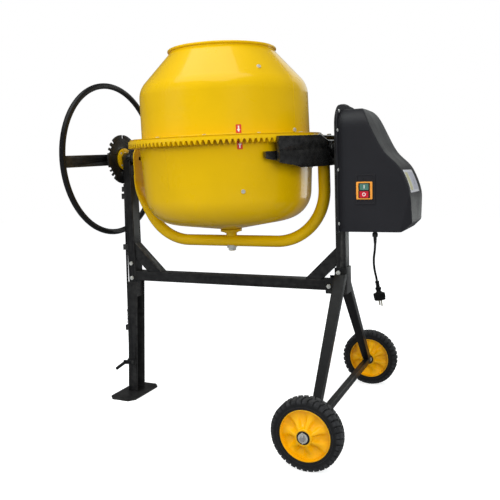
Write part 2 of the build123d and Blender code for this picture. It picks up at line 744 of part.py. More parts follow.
def pinion():
    """Small bevel gear with a hub, on the drive shaft."""
    ends = []
    for x in (326.0, 352.0):
        s = x / GEAR_R
        root = (PITCH_H - DEDENDUM) * s
        tip = (PITCH_H + ADDENDUM) * s
        points = []
        for k in range(PINION_TEETH):
            middle = math.pi / 2 + 2 * math.pi * k / PINION_TEETH
            half_root = (HALF_TOOTH + DEDENDUM * FLANK * 0.8) * s / root
            half_pitch = HALF_TOOTH / PITCH_H
            half_tip = (HALF_TOOTH - ADDENDUM * FLANK * 1.15) * s / tip
            for radius, angle in (
                (root, -half_root), (PITCH_H * s, -half_pitch), (tip, -half_tip),
                (tip, half_tip), (PITCH_H * s, half_pitch), (root, half_root),
            ):
                points.append((x, radius * math.cos(middle + angle), radius * math.sin(middle + angle)))
        ends.append(make_face(Polyline(points, close=True)))
    gear = loft(ends, ruled=True)
    hub = rod_x(20, 352, 356.6)
    return gear + hub - rod_x(SHAFT_R, 300, 400)


def drive_shaft():
    rod = rod_x(SHAFT_R, 324, 500)
    return chamfer(rod.edges().filter_by(GeomType.CIRCLE), 1)


def shaft_nut():
    """Nut that holds the large pulley on the shaft."""
    nut = Pos(493, 0, 0) * Rot(0, 90, 0) * extrude(RegularPolygon(15, 6), amount=6)
    return nut - rod_x(SHAFT_R, 480, 510)


def large_pulley():
    """Spoked belt pulley with a grooved rim."""
    x0 = PULLEY_X - PULLEY_WIDE / 2
    x1 = PULLEY_X + PULLEY_WIDE / 2
    rim = rod_x(PULLEY_R, x0, x1) - rod_x(PULLEY_R - 8, x0 - 1, x1 + 1)
    web = rod_x(PULLEY_R - 8, PULLEY_X - 3, PULLEY_X + 3)
    windows = [Rot(60 * k, 0, 0) * rod_x(20, x0 - 1, x1 + 1, z=66) for k in range(6)]
    hub = rod_x(24, x0 - 6, x1 + 1)
    wheel = rim + (web - windows[0].fuse(*windows[1:])) + hub
    return wheel - rod_x(SHAFT_R, 400, 520)


def drum_hub():
    """Reinforcement and bearing housing in the middle of the drum's floor."""
    housing = turned([
        (SPINDLE_R + RUNNING, -284), (40, -284), (40, -274.5), (29.5, -274.5), (29.5, -236), (SPINDLE_R + RUNNING, -236),
    ])
    return housing


def on_wall(azimuth, radius, height, slope):
    """A place on the outside of the drum, with +Z along the outward normal."""
    return Rot(0, 0, azimuth) * Pos(radius, 0, height) * Rot(0, 90 + slope, 0)


def blade_point(azimuth, radius, height):
    turn = math.radians(azimuth)
    return Vector(radius * math.cos(turn), radius * math.sin(turn), height)


def blade_leg(start, end):
    """One straight half of a paddle: a strip on edge, its width pointing to the drum's axis."""
    middle = (start + end) * 0.5
    inward = Vector(middle.X, middle.Y, 0).normalized()
    run = (end - start).normalized()
    plane = Plane(start, x_dir=inward - run * inward.dot(run), z_dir=run)
    return extrude(plane * Rectangle(BLADE_WIDE, BLADE_THICK), amount=(end - start).length)


def blade(turn):
    """Mixing paddle in the shape of a V, on three feet that are screwed to the drum's wall."""
    points = [blade_point(*place) for place in BLADE_PATH]
    joint = Pos(*points[1]) * Rot(0, 0, BLADE_PATH[1][0]) * Rot(0, 90, 0) * Cylinder(6, BLADE_WIDE)
    feet = [on_wall(*place) * rod_z(7, -depth, -4) for place, depth in zip(BLADE_BOLTS, (36, 30, 28))]
    paddle = blade_leg(points[0], points[1]).fuse(blade_leg(points[1], points[2]), joint, *feet)
    for place in BLADE_BOLTS:
        paddle -= on_wall(*place) * rod_z(4, -14, 1)
    return Rot(0, 0, turn) * paddle


def blade_screws():
    """Screws from outside into the paddles' feet."""
    out = []
    for turn in (0, 180):
        for place in BLADE_BOLTS:
            out.append(Rot(0, 0, turn) * on_wall(*place) * hex_screw(4, 14, 7.5, 5))
    return together(out)


def blade_screw_holes():
    holes = [Rot(0, 0, turn) * on_wall(*place) * rod_z(4, -14, 3) for turn in (0, 180) for place in BLADE_BOLTS]
    return holes[0].fuse(*holes[1:])


def arrow_labels():
    """Two small round-cornered labels on the front of the drum, one above the seam and one below."""
    out = []
    for radius, height, slope in ((306.2, 81.0, -0.6), (315.8, 30.0, 3.2)):
        patch = extrude(RectangleRounded(28, 18, 3), amount=0.8)
        out.append(on_wall(BLADE_BOLTS[0][0], radius, height, slope) * patch)
    return together(out)


# ---------------------------------------------------------------- drive housing
def arch(half, top, low, corner, x0, x1):
    """A prism along X with a flat-topped arch for its section."""
    shoulder = top - corner - 7
    left = (-half, shoulder)
    crown_left = (-half + corner, top - 7)
    crown_right = (half - corner, top - 7)
    right = (half, shoulder)

    def at(y, z):
        return (x0, y, z)

    bend = corner * (1 - math.cos(math.pi / 4))
    edges = [
        Line(at(half, low), at(-half, low)),
        Line(at(-half, low), at(*left)),
        ThreePointArc(at(*left), at(-half + bend, top - 7 - bend), at(*crown_left)),
        ThreePointArc(at(*crown_left), at(0, top), at(*crown_right)),
        ThreePointArc(at(*crown_right), at(half - bend, top - 7 - bend), at(*right)),
        Line(at(*right), at(half, low)),
    ]
    return extrude(make_face(Wire(edges)), amount=x1 - x0, dir=(1, 0, 0))


def side_profile(inset, y0, y1):
    """The housing's outline seen from the front: a flat top, an S-shaped back and a bevelled foot."""
    top = COVER_TOP + 5
    out = COVER_OUT - inset
    low = COVER_LOW + inset

    def at(x, z):
        return (x, y0, z)

    sweep_down = Spline(
        [at(516, COVER_TOP - inset), at(559 - inset, 1042), at(602 - inset, 952), at(660 - inset, 882), at(out, 780)],
        tangents=[(1, 0, 0), (0, 0, -1)],
    )
    edges = [
        Line(at(440, top), at(516, top)),
        Line(at(516, top), sweep_down @ 0),
        sweep_down,
        Line(sweep_down @ 1, at(out, 712)),
        Line(at(out, 712), at(660 - inset / 2, low)),
        Line(at(660 - inset / 2, low), at(440, low)),
        Line(at(440, low), at(440, top)),
    ]
    return extrude(make_face(Wire(edges)), amount=y1 - y0, dir=(0, 1, 0))


def cover_solid(inset):
    body = arch(COVER_HALF - inset, COVER_TOP - inset, COVER_LOW + inset, 62 - inset, COVER_X, 720)
    body = body & side_profile(inset, -200, 200)
    for side in (-1, 1):
        body -= foot_bevel(side, inset)
    return body


def foot_bevel(side, inset):
    """The wedge cut off each lower outer corner."""
    reach = 40.0
    corner = Plane(
        (COVER_OUT - inset, side * (COVER_HALF - inset), 815),
        x_dir=(0, 0, 1),
        z_dir=(34.0, side * 34.0, -9.0),
    )
    return corner * Pos(0, 0, reach) * Box(800, 800, 2 * reach)


def cover():
    """Moulded cover: a shell open towards the back plate, with a lip all round."""
    shell = cover_solid(0)
    shell = shell - cover_solid(COVER_WALL)
    lip = arch(FLANGE_HALF - 3, COVER_TOP + 6, COVER_LOW - 1, 70, COVER_X, COVER_X + 4)
    lip -= arch(COVER_HALF - 2, COVER_TOP - 2, COVER_LOW + 2, 60, COVER_X - 1, COVER_X + 5)
    shell = shell + lip
    shell -= block((SWITCH_X - 24, SWITCH_X + 24), (-130, -100), (SWITCH_Z - 26, SWITCH_Z + 26))
    shell -= rod_z(8, 670, 700, x=CORD_ROUTE[0][0], y=CORD_ROUTE[0][1])
    for y, z in cover_screw_places():
        shell -= rod_x(3, 450, 470, y=y, z=z)
    return shell


def cover_screw_places():
    side = [(s * (FLANGE_HALF - 9), z) for s in (-1, 1) for z in (712, 886, 1012)]
    return side + [(-108.5, 1074.5), (108.5, 1074.5)]


def back_plate():
    plate = arch(FLANGE_HALF, COVER_TOP + 9, COVER_LOW - 3, 70, FLANGE_X, COVER_X)
    plate -= rod_x(26, 440, 470, z=TILT_Z)
    for y, z in cover_screw_places():
        plate -= rod_x(3, 440, 470, y=y, z=z)
    for y, z in HOUSING_BOLTS:
        plate -= rod_x(4, 440, 470, y=y, z=z)
    return plate


def cover_screws():
    out = []
    for y, z in cover_screw_places():
        head = rod_x(5.5, COVER_X + 4, COVER_X + 7, y=y, z=z)
        head = fillet(head.edges().group_by(Axis.X)[-1], 1.8)
        out.append(head + rod_x(3, FLANGE_X, COVER_X + 4, y=y, z=z))
    return together(out)


def housing_bolts():
    """Bolts that hold the back plate on the right post."""
    out = []
    for y, z in HOUSING_BOLTS:
        out.append(Pos(COVER_X, y, z) * Rot(0, 90, 0) * hex_screw(4, 8))
    return together(out)


def motor_body():
    """Capacitor motor: finned drum with end shields, its axis along X."""
    drum = rod_x(MOTOR_R - 4, 522, 636, z=MOTOR_Z)
    shields = [rod_x(MOTOR_R, 514, 530, z=MOTOR_Z), rod_x(MOTOR_R, 628, 646, z=MOTOR_Z)]
    fins = []
    for k in range(24):
        fin = Pos(579, 0, MOTOR_R - 5) * Box(100, 2.5, 8)
        fins.append(Pos(0, 0, MOTOR_Z) * Rot(15 * k, 0, 0) * fin)
    body = drum.fuse(*shields, *fins)
    return body - rod_x(7 + 4, 500, 560, z=MOTOR_Z)


def motor_plate():
    """Slotted plate on four pillars that carries the motor."""
    plate = block((508, 514), (-76, 76), (MOTOR_Z - 66, MOTOR_Z + 50)) - rod_x(26, 500, 520, z=MOTOR_Z)
    pillars = []
    for y in (-67, 67):
        for z in (MOTOR_Z - 56, MOTOR_Z + 40):
            pillars.append(rod_x(6, COVER_X, 508, y=y, z=z))
    return plate.fuse(*pillars)


def motor_pulley():
    """Small grooved pulley on the rotor's shaft."""
    x0 = PULLEY_X - PULLEY_WIDE / 2
    x1 = PULLEY_X + PULLEY_WIDE / 2
    wheel = rod_x(SMALL_PULLEY_R, x0, x1, z=MOTOR_Z) - rod_x(7, x0 - 1, x1 + 1, z=MOTOR_Z)
    flange = rod_x(SMALL_PULLEY_R + 3, x1, x1 + 2, z=MOTOR_Z) - rod_x(7, x1 - 1, x1 + 3, z=MOTOR_Z)
    return wheel + flange


def rotor_shaft():
    return rod_x(7, PULLEY_X - PULLEY_WIDE / 2 - 2, 555, z=MOTOR_Z)


def belt():
    """Ribbed belt round both pulleys, with a hair of clearance for the turning pulleys."""
    gap = 0.4
    thick = 3.0

    def loop(extra, x0, x1):
        big = PULLEY_R + extra
        small = SMALL_PULLEY_R + extra
        reach = TILT_Z - MOTOR_Z
        slope = math.asin((big - small) / reach)
        c, s = math.cos(slope), math.sin(slope)
        edges = [
            ThreePointArc((x0, -big * c, TILT_Z - big * s), (x0, 0, TILT_Z + big), (x0, big * c, TILT_Z - big * s)),
            Line((x0, big * c, TILT_Z - big * s), (x0, small * c, MOTOR_Z - small * s)),
            ThreePointArc(
                (x0, small * c, MOTOR_Z - small * s), (x0, 0, MOTOR_Z - small), (x0, -small * c, MOTOR_Z - small * s)
            ),
            Line((x0, -small * c, MOTOR_Z - small * s), (x0, -big * c, TILT_Z - big * s)),
        ]
        return extrude(make_face(Wire(edges)), amount=x1 - x0, dir=(1, 0, 0))

    x0 = PULLEY_X - PULLEY_WIDE / 2 + 2
    x1 = PULLEY_X + PULLEY_WIDE / 2 - 2
    return loop(gap + thick, x0, x1) - loop(gap, x0 - 1, x1 + 1)


def capacitor():
    can = rod_x(20, 540, 620, y=60, z=MOTOR_Z + 78)
    can = fillet(can.edges().filter_by(GeomType.CIRCLE), 3)
    return can


def switch_case():
    """Switch body behind the cover."""
    return block((SWITCH_X - 23.5, SWITCH_X + 23.5), (-114.8, -84), (SWITCH_Z - 25.5, SWITCH_Z + 25.5))


def switch_frame():
    """Coloured frame on the cover, with a window for each button."""
    y = COVER_HALF
    frame = block(
        (SWITCH_X - SWITCH_WIDE / 2, SWITCH_X + SWITCH_WIDE / 2),
        (-y - 5, -y),
        (SWITCH_Z - SWITCH_HIGH / 2, SWITCH_Z + SWITCH_HIGH / 2),
    )
    frame = fillet(frame.edges().filter_by(Axis.Y), 3)
    collar = block((SWITCH_X - 23.5, SWITCH_X + 23.5), (-y, -114.8), (SWITCH_Z - 25.5, SWITCH_Z + 25.5))
    frame = frame + collar
    for low, high in button_windows():
        frame -= block((SWITCH_X - 17, SWITCH_X + 17), (-y - 6, -110), (low, high))
    return frame


def button_windows():
    return [(SWITCH_Z + 1, SWITCH_Z + 23), (SWITCH_Z - 23, SWITCH_Z - 1)]


def button(low, high, proud):
    """A rocker-width push button with a stem; it has room behind it for its travel."""
    y = COVER_HALF
    gap = 0.4
    cap = block((SWITCH_X - 17 + gap, SWITCH_X + 17 - gap), (-y - proud, -y + 0.3), (low + gap, high - gap))
    cap = fillet(cap.edges().group_by(Axis.Y)[0], 1.2)
    return cap


def on_button():
    low, high = button_windows()[0]
    return button(low, high, 6.0)


def off_button():
    low, high = button_windows()[1]
    return button(low, high, 9.0)


def cable_gland():
    """Gland under the cover; the cord passes through it."""
    x, y, _ = CORD_ROUTE[0]
    body = turned([
        (CORD_R, 664), (7, 664), (9, 668), (9, 678), (11, 678), (11, 683.8), (7.8, 683.8), (7.8, 692), (CORD_R, 692),
    ])
    return Pos(x, y, 0) * body


def cord_relief():
    """Tapered sleeve where the cord leaves the gland."""
    x, y, z = CORD_ROUTE[0]
    return Pos(x, y, 0) * turned([(CORD_R + 0.05, 640), (5.0, 640), (6.4, 664), (CORD_R + 0.05, 664)])


def cord_radii():
    """For each corner of the route, the largest arc that its two runs leave room for."""
    points = [Vector(*p) for p in CORD_ROUTE]
    radii = []
    for a, b, c in zip(points[:-2], points[1:-1], points[2:]):
        turn = math.radians((b - a).get_angle(c - b))
        radii.append(0.45 * min((b - a).length, (c - b).length) / math.tan(turn / 2))
    return radii


def power_cord():
    radii = cord_radii()
    print("cord radii", [round(r) for r in radii])
    path = FilletPolyline([Vector(*p) for p in CORD_ROUTE], radius=radii)
    start = Plane(path @ 0, z_dir=path % 0)
    tube = sweep(start * Circle(CORD_R), path=path)
    ratio = tube.volume / (math.pi * CORD_R**2 * path.length)
    print("cord length", round(path.length), "volume ratio", round(ratio, 3))
    return tube


def plug_place():
    """The plug hangs in line with the last run of the cord."""
    a = Vector(*CORD_ROUTE[-2])
    b = Vector(*CORD_ROUTE[-1])
    return Plane(b, x_dir=(0, 1, 0), z_dir=b - a)


def plug_relief():
    """Ribbed sleeve on the plug's end of the cord, drawn along +Z from the cord's end."""
    outline = [(CORD_R, -17), (4.6, -17)]
    for k in range(3):
        z = -15.5 + 5 * k
        outline += [(5.0 + 0.3 * k, z), (5.0 + 0.3 * k, z + 3), (4.4 + 0.3 * k, z + 3.2), (4.4 + 0.3 * k, z + 4.8)]
    outline += [(7, 0), (CORD_R, 0)]
    return plug_place().location * turned(outline)


def plug_body():
    """Round plug with two flats and a flange where it is gripped."""
    body = turned([
        (0, 0), (7.2, 0), (11, 4), (13.5, 16), (13.5, 20), (19.5, 22), (19.5, 34), (18.5, 35.5), (18.5, 40), (0, 40),
    ])
    cut = [Pos(0, s * 30, 37) * Box(5.5, 30, 20) for s in (-1, 1)]
    body = body - cut[0] - cut[1]
    return plug_place().location * body


def plug_pins():
    pins = []
    for s in (-1, 1):
        pin = turned([(0, 40), (2.4, 40), (2.4, 57.5), (1.2, 59), (0, 59)])
        pins.append(plug_place().location * Pos(s * 9.5, 0, 0) * pin)
    return together(pins)


def rating_label():
    """Blank label that follows the cover's sloping back."""
    skin = side_profile(-0.6, -90, 60) - side_profile(0, -95, 65)
    return skin & block((600, 720), (-90, 60), (814, 886))


# ---------------------------------------------------------------- tilt lock
def rod_x_at(z):
    """Where the slanting rod is at a height."""
    (x1, z1), (x0, z0) = ROD_TOP, ROD_FOOT
    return x0 + (x1 - x0) * (z - z0) / (z1 - z0)


def rod_slope():
    (x1, z1), (x0, z0) = ROD_TOP, ROD_FOOT
    return math.degrees(math.atan2(x1 - x0, z1 - z0))


def along_rod(shape, z):
    return Pos(rod_x_at(z), 0, z) * Rot(0, rod_slope(), 0) * shape


def latch_rod():
    """Pull rod with a tongue on top that goes up into the disc's notch, and an eye at the foot."""
    rod = along_rod(Cylinder(ROD_R, 704), 482)
    head = along_rod(Box(13, 24, 20), 834)
    tongue = block((DISC_X - 3.4, DISC_X + 3.4), (-5.2, 5.2), (838, TILT_Z - DISC_R - 1.5))
    collar = along_rod(Cylinder(7, 5), 338)
    x, z = ROD_FOOT
    eye = rod_y(9.5, -5, 5, x=x, z=z) - slot_y(4.4, 2.0, x, z)
    rod -= slot_y(4.4, 2.0, x, z)
    return rod.fuse(head, tongue, collar, eye)


def slot_y(radius, spread, x, z):
    hole = rod_y(radius, -20, 20, x=x - spread, z=z).fuse(rod_y(radius, -20, 20, x=x + spread, z=z))
    return hole + block((x - spread, x + spread), (-20, 20), (z - radius, z + radius))


def rod_guides():
    """Three saddles on the post and the leg that the rod runs through."""
    out = []
    for z, face in ((806, POST_X_LEFT - POST_WIDE / 2), (601, POST_X_LEFT - POST_WIDE / 2), (268, None)):
        if face is None:
            face = leg_x(z) - LEG_WIDE / 2 - 0.8
        outer = rod_x_at(z) - ROD_R - 2
        guide = block((outer, face), (-15, 15), (z - 11, z + 11))
        guide -= along_rod(Cylinder(ROD_R + 0.4, 60), z)
        out.append(guide)
    return together(out)


def lock_spring():
    """Coil spring between the lowest guide and the collar on the rod."""
    low = 280.0
    turns = 9
    high = 335.2
    coil = Helix(pitch=(high - low - 2) / turns, height=high - low - 2, radius=6.6)
    start = Plane(coil @ 0, z_dir=coil % 0)
    wire = sweep(start * Circle(0.9), path=coil)
    return along_rod(Pos(0, 0, low + 1 - 307.6) * wire, 307.6)


def pedal():
    """Foot lever: a flat bar in front of the leg, a pin through the rod's eye and a bent foot rod."""
    px, pz = PEDAL_PIVOT
    ex, ez = ROD_FOOT
    y0 = -LEG_DEEP / 2 - 6.5
    y1 = -LEG_DEEP / 2 - 1.5
    bar = slab_xz([(px + 10, pz - 9), (px + 10, pz + 9), (ex - 8, ez + 8), (ex - 8, ez - 8)], y0, y1)
    bar -= rod_y(4 + RUNNING, y0 - 1, y1 + 1, x=px, z=pz)
    pin = rod_y(4, y1, 7, x=ex, z=ez)
    start = Vector(ex - 2, y0, ez - 1)
    tip = Vector(*PEDAL_TIP)
    foot = Plane(start, z_dir=tip - start) * Circle(PEDAL_R)
    foot = extrude(foot, amount=(tip - start).length)
    foot = foot - block((-600, -400), (y0, 20), (0, 200))
    return bar.fuse(pin, foot) + Pos(*PEDAL_TIP) * Sphere(PEDAL_R)


def pedal_pivot():
    """Shoulder bolt in the leg that the pedal turns on."""
    px, pz = PEDAL_PIVOT
    y = -LEG_DEEP / 2
    shank = rod_y(4, y - 6.8, y + 3, x=px, z=pz)
    head = Pos(px, y - 6.8, pz) * Rot(90, 0, 0) * extrude(RegularPolygon(7.5, 6), amount=5)
    collar = rod_y(7, y - 1.2, y, x=px, z=pz) + rod_y(4.98, y - 0.1, y + 3, x=px, z=pz)
    nut = Pos(px, y + 3, pz) * Rot(-90, 0, 0) * extrude(RegularPolygon(8.5, 6), amount=6)
    return shank + head + collar + nut


# ---------------------------------------------------------------- the whole machine
def stand_nodes():
    holes = bolt_clearance()
    post_left = left_post()
    post_right = right_post()
    insert = leg_insert()
    bracket = corner_bracket()
    bar = crossbar()
    for hole in holes:
        post_left -= hole
        post_right -= hole
        insert -= hole
        bracket -= hole
        bar -= hole
    return {
        "left_post": post_left,
        "right_post": post_right,
        "post_bearings": together([left_bearing(), right_bearing()]),
        "crossbar": bar,
        "post_braces": together([brace(-1), brace(1)]),
        "corner_bracket": bracket,
        "left_leg": together([left_leg(), insert, foot_plate(), pedal_pivot()]),
        "stand_bolts": leg_bolts(),
        "front_wheel_leg": wheel_leg(-1),
        "rear_wheel_leg": wheel_leg(1),
        "axle_tube": axle_tube(),
        "axle": axle(),
        "axle_fasteners": together([axle_washers(), split_pins()]),
        "rod_guides": rod_guides(),
    }


def wheel_nodes():
    nodes = {}
    for name, side in (("front", -1), ("rear", 1)):
        nodes[f"{name}_tyre"] = tyre(side)
        nodes[f"{name}_wheel_disc"] = wheel_disc(side)
        nodes[f"{name}_wheel_bush"] = wheel_bush(side)
    return nodes


def yoke_nodes():
    makers = {
        "tilt_tube": tilt_tube,
        "hub_flange": hub_flange,
        "lock_disc": lock_disc,
        "handwheel_rim": handwheel_rim,
        "pinion_block": lambda: together([pinion_block(), yoke_journal()]),
        "drum_spindle": spindle,
        "guard_lower": guard_lower,
        "guard_upper": guard_upper,
    }
    nodes = {name: on_yoke(make()) for name, make in makers.items()}
    nodes["yoke_tube"] = on_yoke(together([yoke_tube(), yoke_left_plate()]))
    nodes["handwheel_bar"] = on_yoke(together([handwheel_spoke(), handwheel_hub()]))
    nodes["yoke_bolts"] = on_yoke(together([disc_bolts(), handwheel_bolts(), spindle_nuts(), guard_bolts()]))
    return nodes


def drum_nodes():
    makers = {
        "lower_drum": lower_drum,
        "upper_drum": upper_drum,
        "ring_gear": ring_gear,
        "drum_hub": drum_hub,
        "arrow_labels": arrow_labels,
        "pinion": pinion,
        "drive_shaft": drive_shaft,
    }
    nodes = {name: on_yoke(make()) for name, make in makers.items()}
    nodes["large_pulley"] = on_yoke(together([large_pulley(), shaft_nut()]))
    nodes["mixing_blades"] = on_yoke(together([blade(0), blade(180)]))
    nodes["drum_bolts"] = on_yoke(together([seam_bolts(), blade_screws()]))
    return nodes


def housing_nodes():
    return {
        "back_plate": back_plate(),
        "drive_cover": cover(),
        "cover_screws": together([cover_screws(), housing_bolts()]),
        "motor_body": motor_body(),
        "motor_plate": motor_plate(),
        "motor_pulley": together([motor_pulley(), rotor_shaft()]),
        "drive_belt": belt(),
        "run_capacitor": capacitor(),
        "switch_body": together([switch_frame(), switch_case()]),
        "on_button": on_button(),
        "off_button": off_button(),
        "cable_gland": together([cable_gland(), cord_relief()]),
        "power_cord": power_cord(),
        "plug_body": plug_body() + plug_relief(),
        "plug_pins": plug_pins(),
        "blank_label": rating_label(),
    }


def lock_nodes():
    return {
        "latch_rod": latch_rod(),
        "lock_spring": lock_spring(),
        "foot_pedal": pedal(),
    }


def main():
    os.makedirs("parts", exist_ok=True)
    for group in (stand_nodes, wheel_nodes, yoke_nodes, drum_nodes, housing_nodes, lock_nodes):
        for name, shape in group().items():
            save(name, shape)


main()
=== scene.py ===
"""Looks of a tilting-drum concrete mixer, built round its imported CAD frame.

Everything is in metres in the frame's own coordinates: +X runs to the drive housing, -Y is the side
with the switch, +Z is up. Drum and yoke pieces are drawn about the point where the drum's axis crosses
the tilt axis, with +Z along the drum's axis, and are then put in place by LEANING.
"""

import json
import math

import bmesh
import bpy
from mathutils import Matrix, Vector, noise


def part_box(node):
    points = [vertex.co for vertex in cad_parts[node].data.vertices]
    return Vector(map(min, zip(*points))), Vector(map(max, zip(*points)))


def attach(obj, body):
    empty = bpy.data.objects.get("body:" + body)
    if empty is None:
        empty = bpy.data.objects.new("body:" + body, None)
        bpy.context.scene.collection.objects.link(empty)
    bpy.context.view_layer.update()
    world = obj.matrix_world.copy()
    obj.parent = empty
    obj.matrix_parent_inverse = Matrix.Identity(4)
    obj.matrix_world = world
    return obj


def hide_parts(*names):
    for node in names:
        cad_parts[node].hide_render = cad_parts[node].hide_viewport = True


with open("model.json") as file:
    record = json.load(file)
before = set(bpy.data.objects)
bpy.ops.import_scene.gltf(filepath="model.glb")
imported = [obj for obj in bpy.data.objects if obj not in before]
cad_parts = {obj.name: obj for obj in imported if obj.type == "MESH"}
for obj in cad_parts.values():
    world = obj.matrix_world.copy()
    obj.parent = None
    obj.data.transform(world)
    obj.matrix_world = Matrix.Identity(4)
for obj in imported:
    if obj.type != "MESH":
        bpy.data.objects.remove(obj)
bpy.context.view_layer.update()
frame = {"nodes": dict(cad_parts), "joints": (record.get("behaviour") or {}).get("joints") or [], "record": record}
JOINTS = {joint["name"]: joint for joint in frame["joints"]}
TAU = 2 * math.pi

DRUM_AXIS = Vector(JOINTS["drum_spin"]["axis"])
CROSSING = Vector(JOINTS["drum_spin"]["pos_m"])
UP = Vector((0, 0, 1))
LEANING = Matrix.Translation(CROSSING) @ UP.rotation_difference(DRUM_AXIS).to_matrix().to_4x4()
SIDEWAYS = Matrix(((0, 0, 1, 0), (1, 0, 0, 0), (0, 1, 0, 0), (0, 0, 0, 1)))  # (x, y, z) to (z, x, y)

# drum
SHEET = 0.003
MOUTH = (0.190, 0.374)          # radius, height
SHOULDER = (0.304, 0.238)
SEAM_UPPER_R = 0.306
SEAM_LOWER_R = 0.317
FLANGE_R = 0.349
SEAM_H = 0.062
FLOOR_EDGE = (0.301, -0.226)
FLOOR_CENTRE = (0.032, -0.274)
LIP_R = 0.0045
DRUM_STEPS = 288                # round the drum
WELD_AZIMUTH = -13.0            # degrees
LABEL_AZIMUTH = -55.5

# yoke
YOKE_X = 0.372
YOKE_LOW = -0.320
YOKE_BEND = 0.189
YOKE_R = 0.0212
PLATE_X = -0.391

# wheels
WHEEL_R = 0.1115
RIM_R = 0.0788
BUSH_R = 0.0210
HUB_HALF = 0.0355
TYRE_HALF = 0.025
TREADS = 36
RAYS = 7
RAY_PHASE = math.radians(22)

# drive housing
ORIGIN_X = 0.08135              # the CAD source's drum axis lies this far to the left of the frame's origin
HOUSE_BACK = 0.457 - ORIGIN_X
HOUSE_OUT = 0.690 - ORIGIN_X
HOUSE_HALF = 0.118
HOUSE_TOP = 1.085
HOUSE_LOW = 0.684
WALL = 0.003
SWITCH = Vector((0.46365, -0.118, 0.818))
SWITCH_PAD = (0.062, 0.096)     # raised pad round the switch, along X and Z
SWITCH_PAD_SHIFT = (0.003, 0.004)
SWITCH_OPENING = (0.044, 0.048)
BUTTON_RISE = 0.012             # each button's middle is this far above or below the switch's

# mains cord
CORD_R = 0.00375
GRIP_HALF = 0.0165              # half the plug's width across its two flats
PIN_GAP = 0.0095                # from the plug's axis to each pin's
PLUG_TURN = 55                  # degrees about its own axis
CORD_ROUTE = [
    (0.572, -0.095, 0.660),
    (0.572, -0.095, 0.630),
    (0.567, -0.098, 0.598),
    (0.568, -0.096, 0.564),
    (0.575, -0.094, 0.532),
    (0.580, -0.094, 0.500),
]


# ---------------------------------------------------------------- node helpers
class Shader:
    """A Principled material whose textures use the frame's own coordinates, in metres."""

    def __init__(self, name, **values):
        self.material = bpy.data.materials.new(name)
        self.material.use_nodes = True
        self.tree = self.material.node_tree
        self.bsdf = self.tree.nodes["Principled BSDF"]
        self.coords = self.tree.nodes.new("ShaderNodeTexCoord").outputs["Object"]
        self.normal = None
        for socket, value in values.items():
            self.bsdf.inputs[socket.replace("_", " ")].default_value = value

    def link(self, source, target):
        self.tree.links.new(source, target)

    def noise(self, scale, detail=3.0, roughness=0.5, distortion=0.0):
        node = self.tree.nodes.new("ShaderNodeTexNoise")
        node.inputs["Scale"].default_value = scale
        node.inputs["Detail"].default_value = detail
        node.inputs["Roughness"].default_value = roughness
        node.inputs["Distortion"].default_value = distortion
        self.link(self.coords, node.inputs["Vector"])
        return node.outputs["Fac"]

    def cells(self, scale, feature="F1"):
        node = self.tree.nodes.new("ShaderNodeTexVoronoi")
        node.feature = feature
        node.inputs["Scale"].default_value = scale
        self.link(self.coords, node.inputs["Vector"])
        return node.outputs["Distance"]

    def ramp(self, factor, stops):
        node = self.tree.nodes.new("ShaderNodeValToRGB")
        ramp = node.color_ramp
        while len(ramp.elements) < len(stops):
            ramp.elements.new(0.5)
        for element, (place, colour) in zip(ramp.elements, stops):
            element.position = place
            element.color = (*colour, 1.0)
        self.link(factor, node.inputs["Fac"])
        return node.outputs["Color"]

    def spread(self, factor, low, high, start=0.3, end=0.7):
        node = self.tree.nodes.new("ShaderNodeMapRange")
        for name, value in (("From Min", start), ("From Max", end), ("To Min", low), ("To Max", high)):
            node.inputs[name].default_value = value
        self.link(factor, node.inputs["Value"])
        return node.outputs["Result"]

    def mix(self, factor, one, two):
        node = self.tree.nodes.new("ShaderNodeMix")
        node.data_type = "RGBA"
        self.link(factor, node.inputs["Factor"])
        for socket, value in ((node.inputs["A"], one), (node.inputs["B"], two)):
            if isinstance(value, tuple):
                socket.default_value = (*value, 1.0)
            else:
                self.link(value, socket)
        return node.outputs["Result"]

    def edges(self, low=0.52, high=0.62):
        """How far a place is on a convex edge, broken up so that the wear looks rubbed."""
        point = self.tree.nodes.new("ShaderNodeNewGeometry").outputs["Pointiness"]
        worn = self.tree.nodes.new("ShaderNodeMath")
        worn.operation = "MULTIPLY"
        self.link(self.spread(point, 0.0, 1.0, low, high), worn.inputs[0])
        self.link(self.spread(self.noise(55.0, 5.0, 0.7), 0.15, 1.0, 0.35, 0.65), worn.inputs[1])
        return worn.outputs["Value"]

    def bump(self, height, depth, strength=1.0):
        """Adds relief: depth is the height of the texture's full range, in metres."""
        node = self.tree.nodes.new("ShaderNodeBump")
        node.inputs["Strength"].default_value = strength
        node.inputs["Distance"].default_value = depth
        self.link(height, node.inputs["Height"])
        if self.normal is not None:
            self.link(self.normal, node.inputs["Normal"])
        self.normal = node.outputs["Normal"]
        self.link(self.normal, self.bsdf.inputs["Normal"])

    def colour(self, source):
        self.link(source, self.bsdf.inputs["Base Color"])

    def rough(self, source):
        self.link(source, self.bsdf.inputs["Roughness"])


def shade(colour, factor):
    return tuple(min(1.0, c * factor) for c in colour)


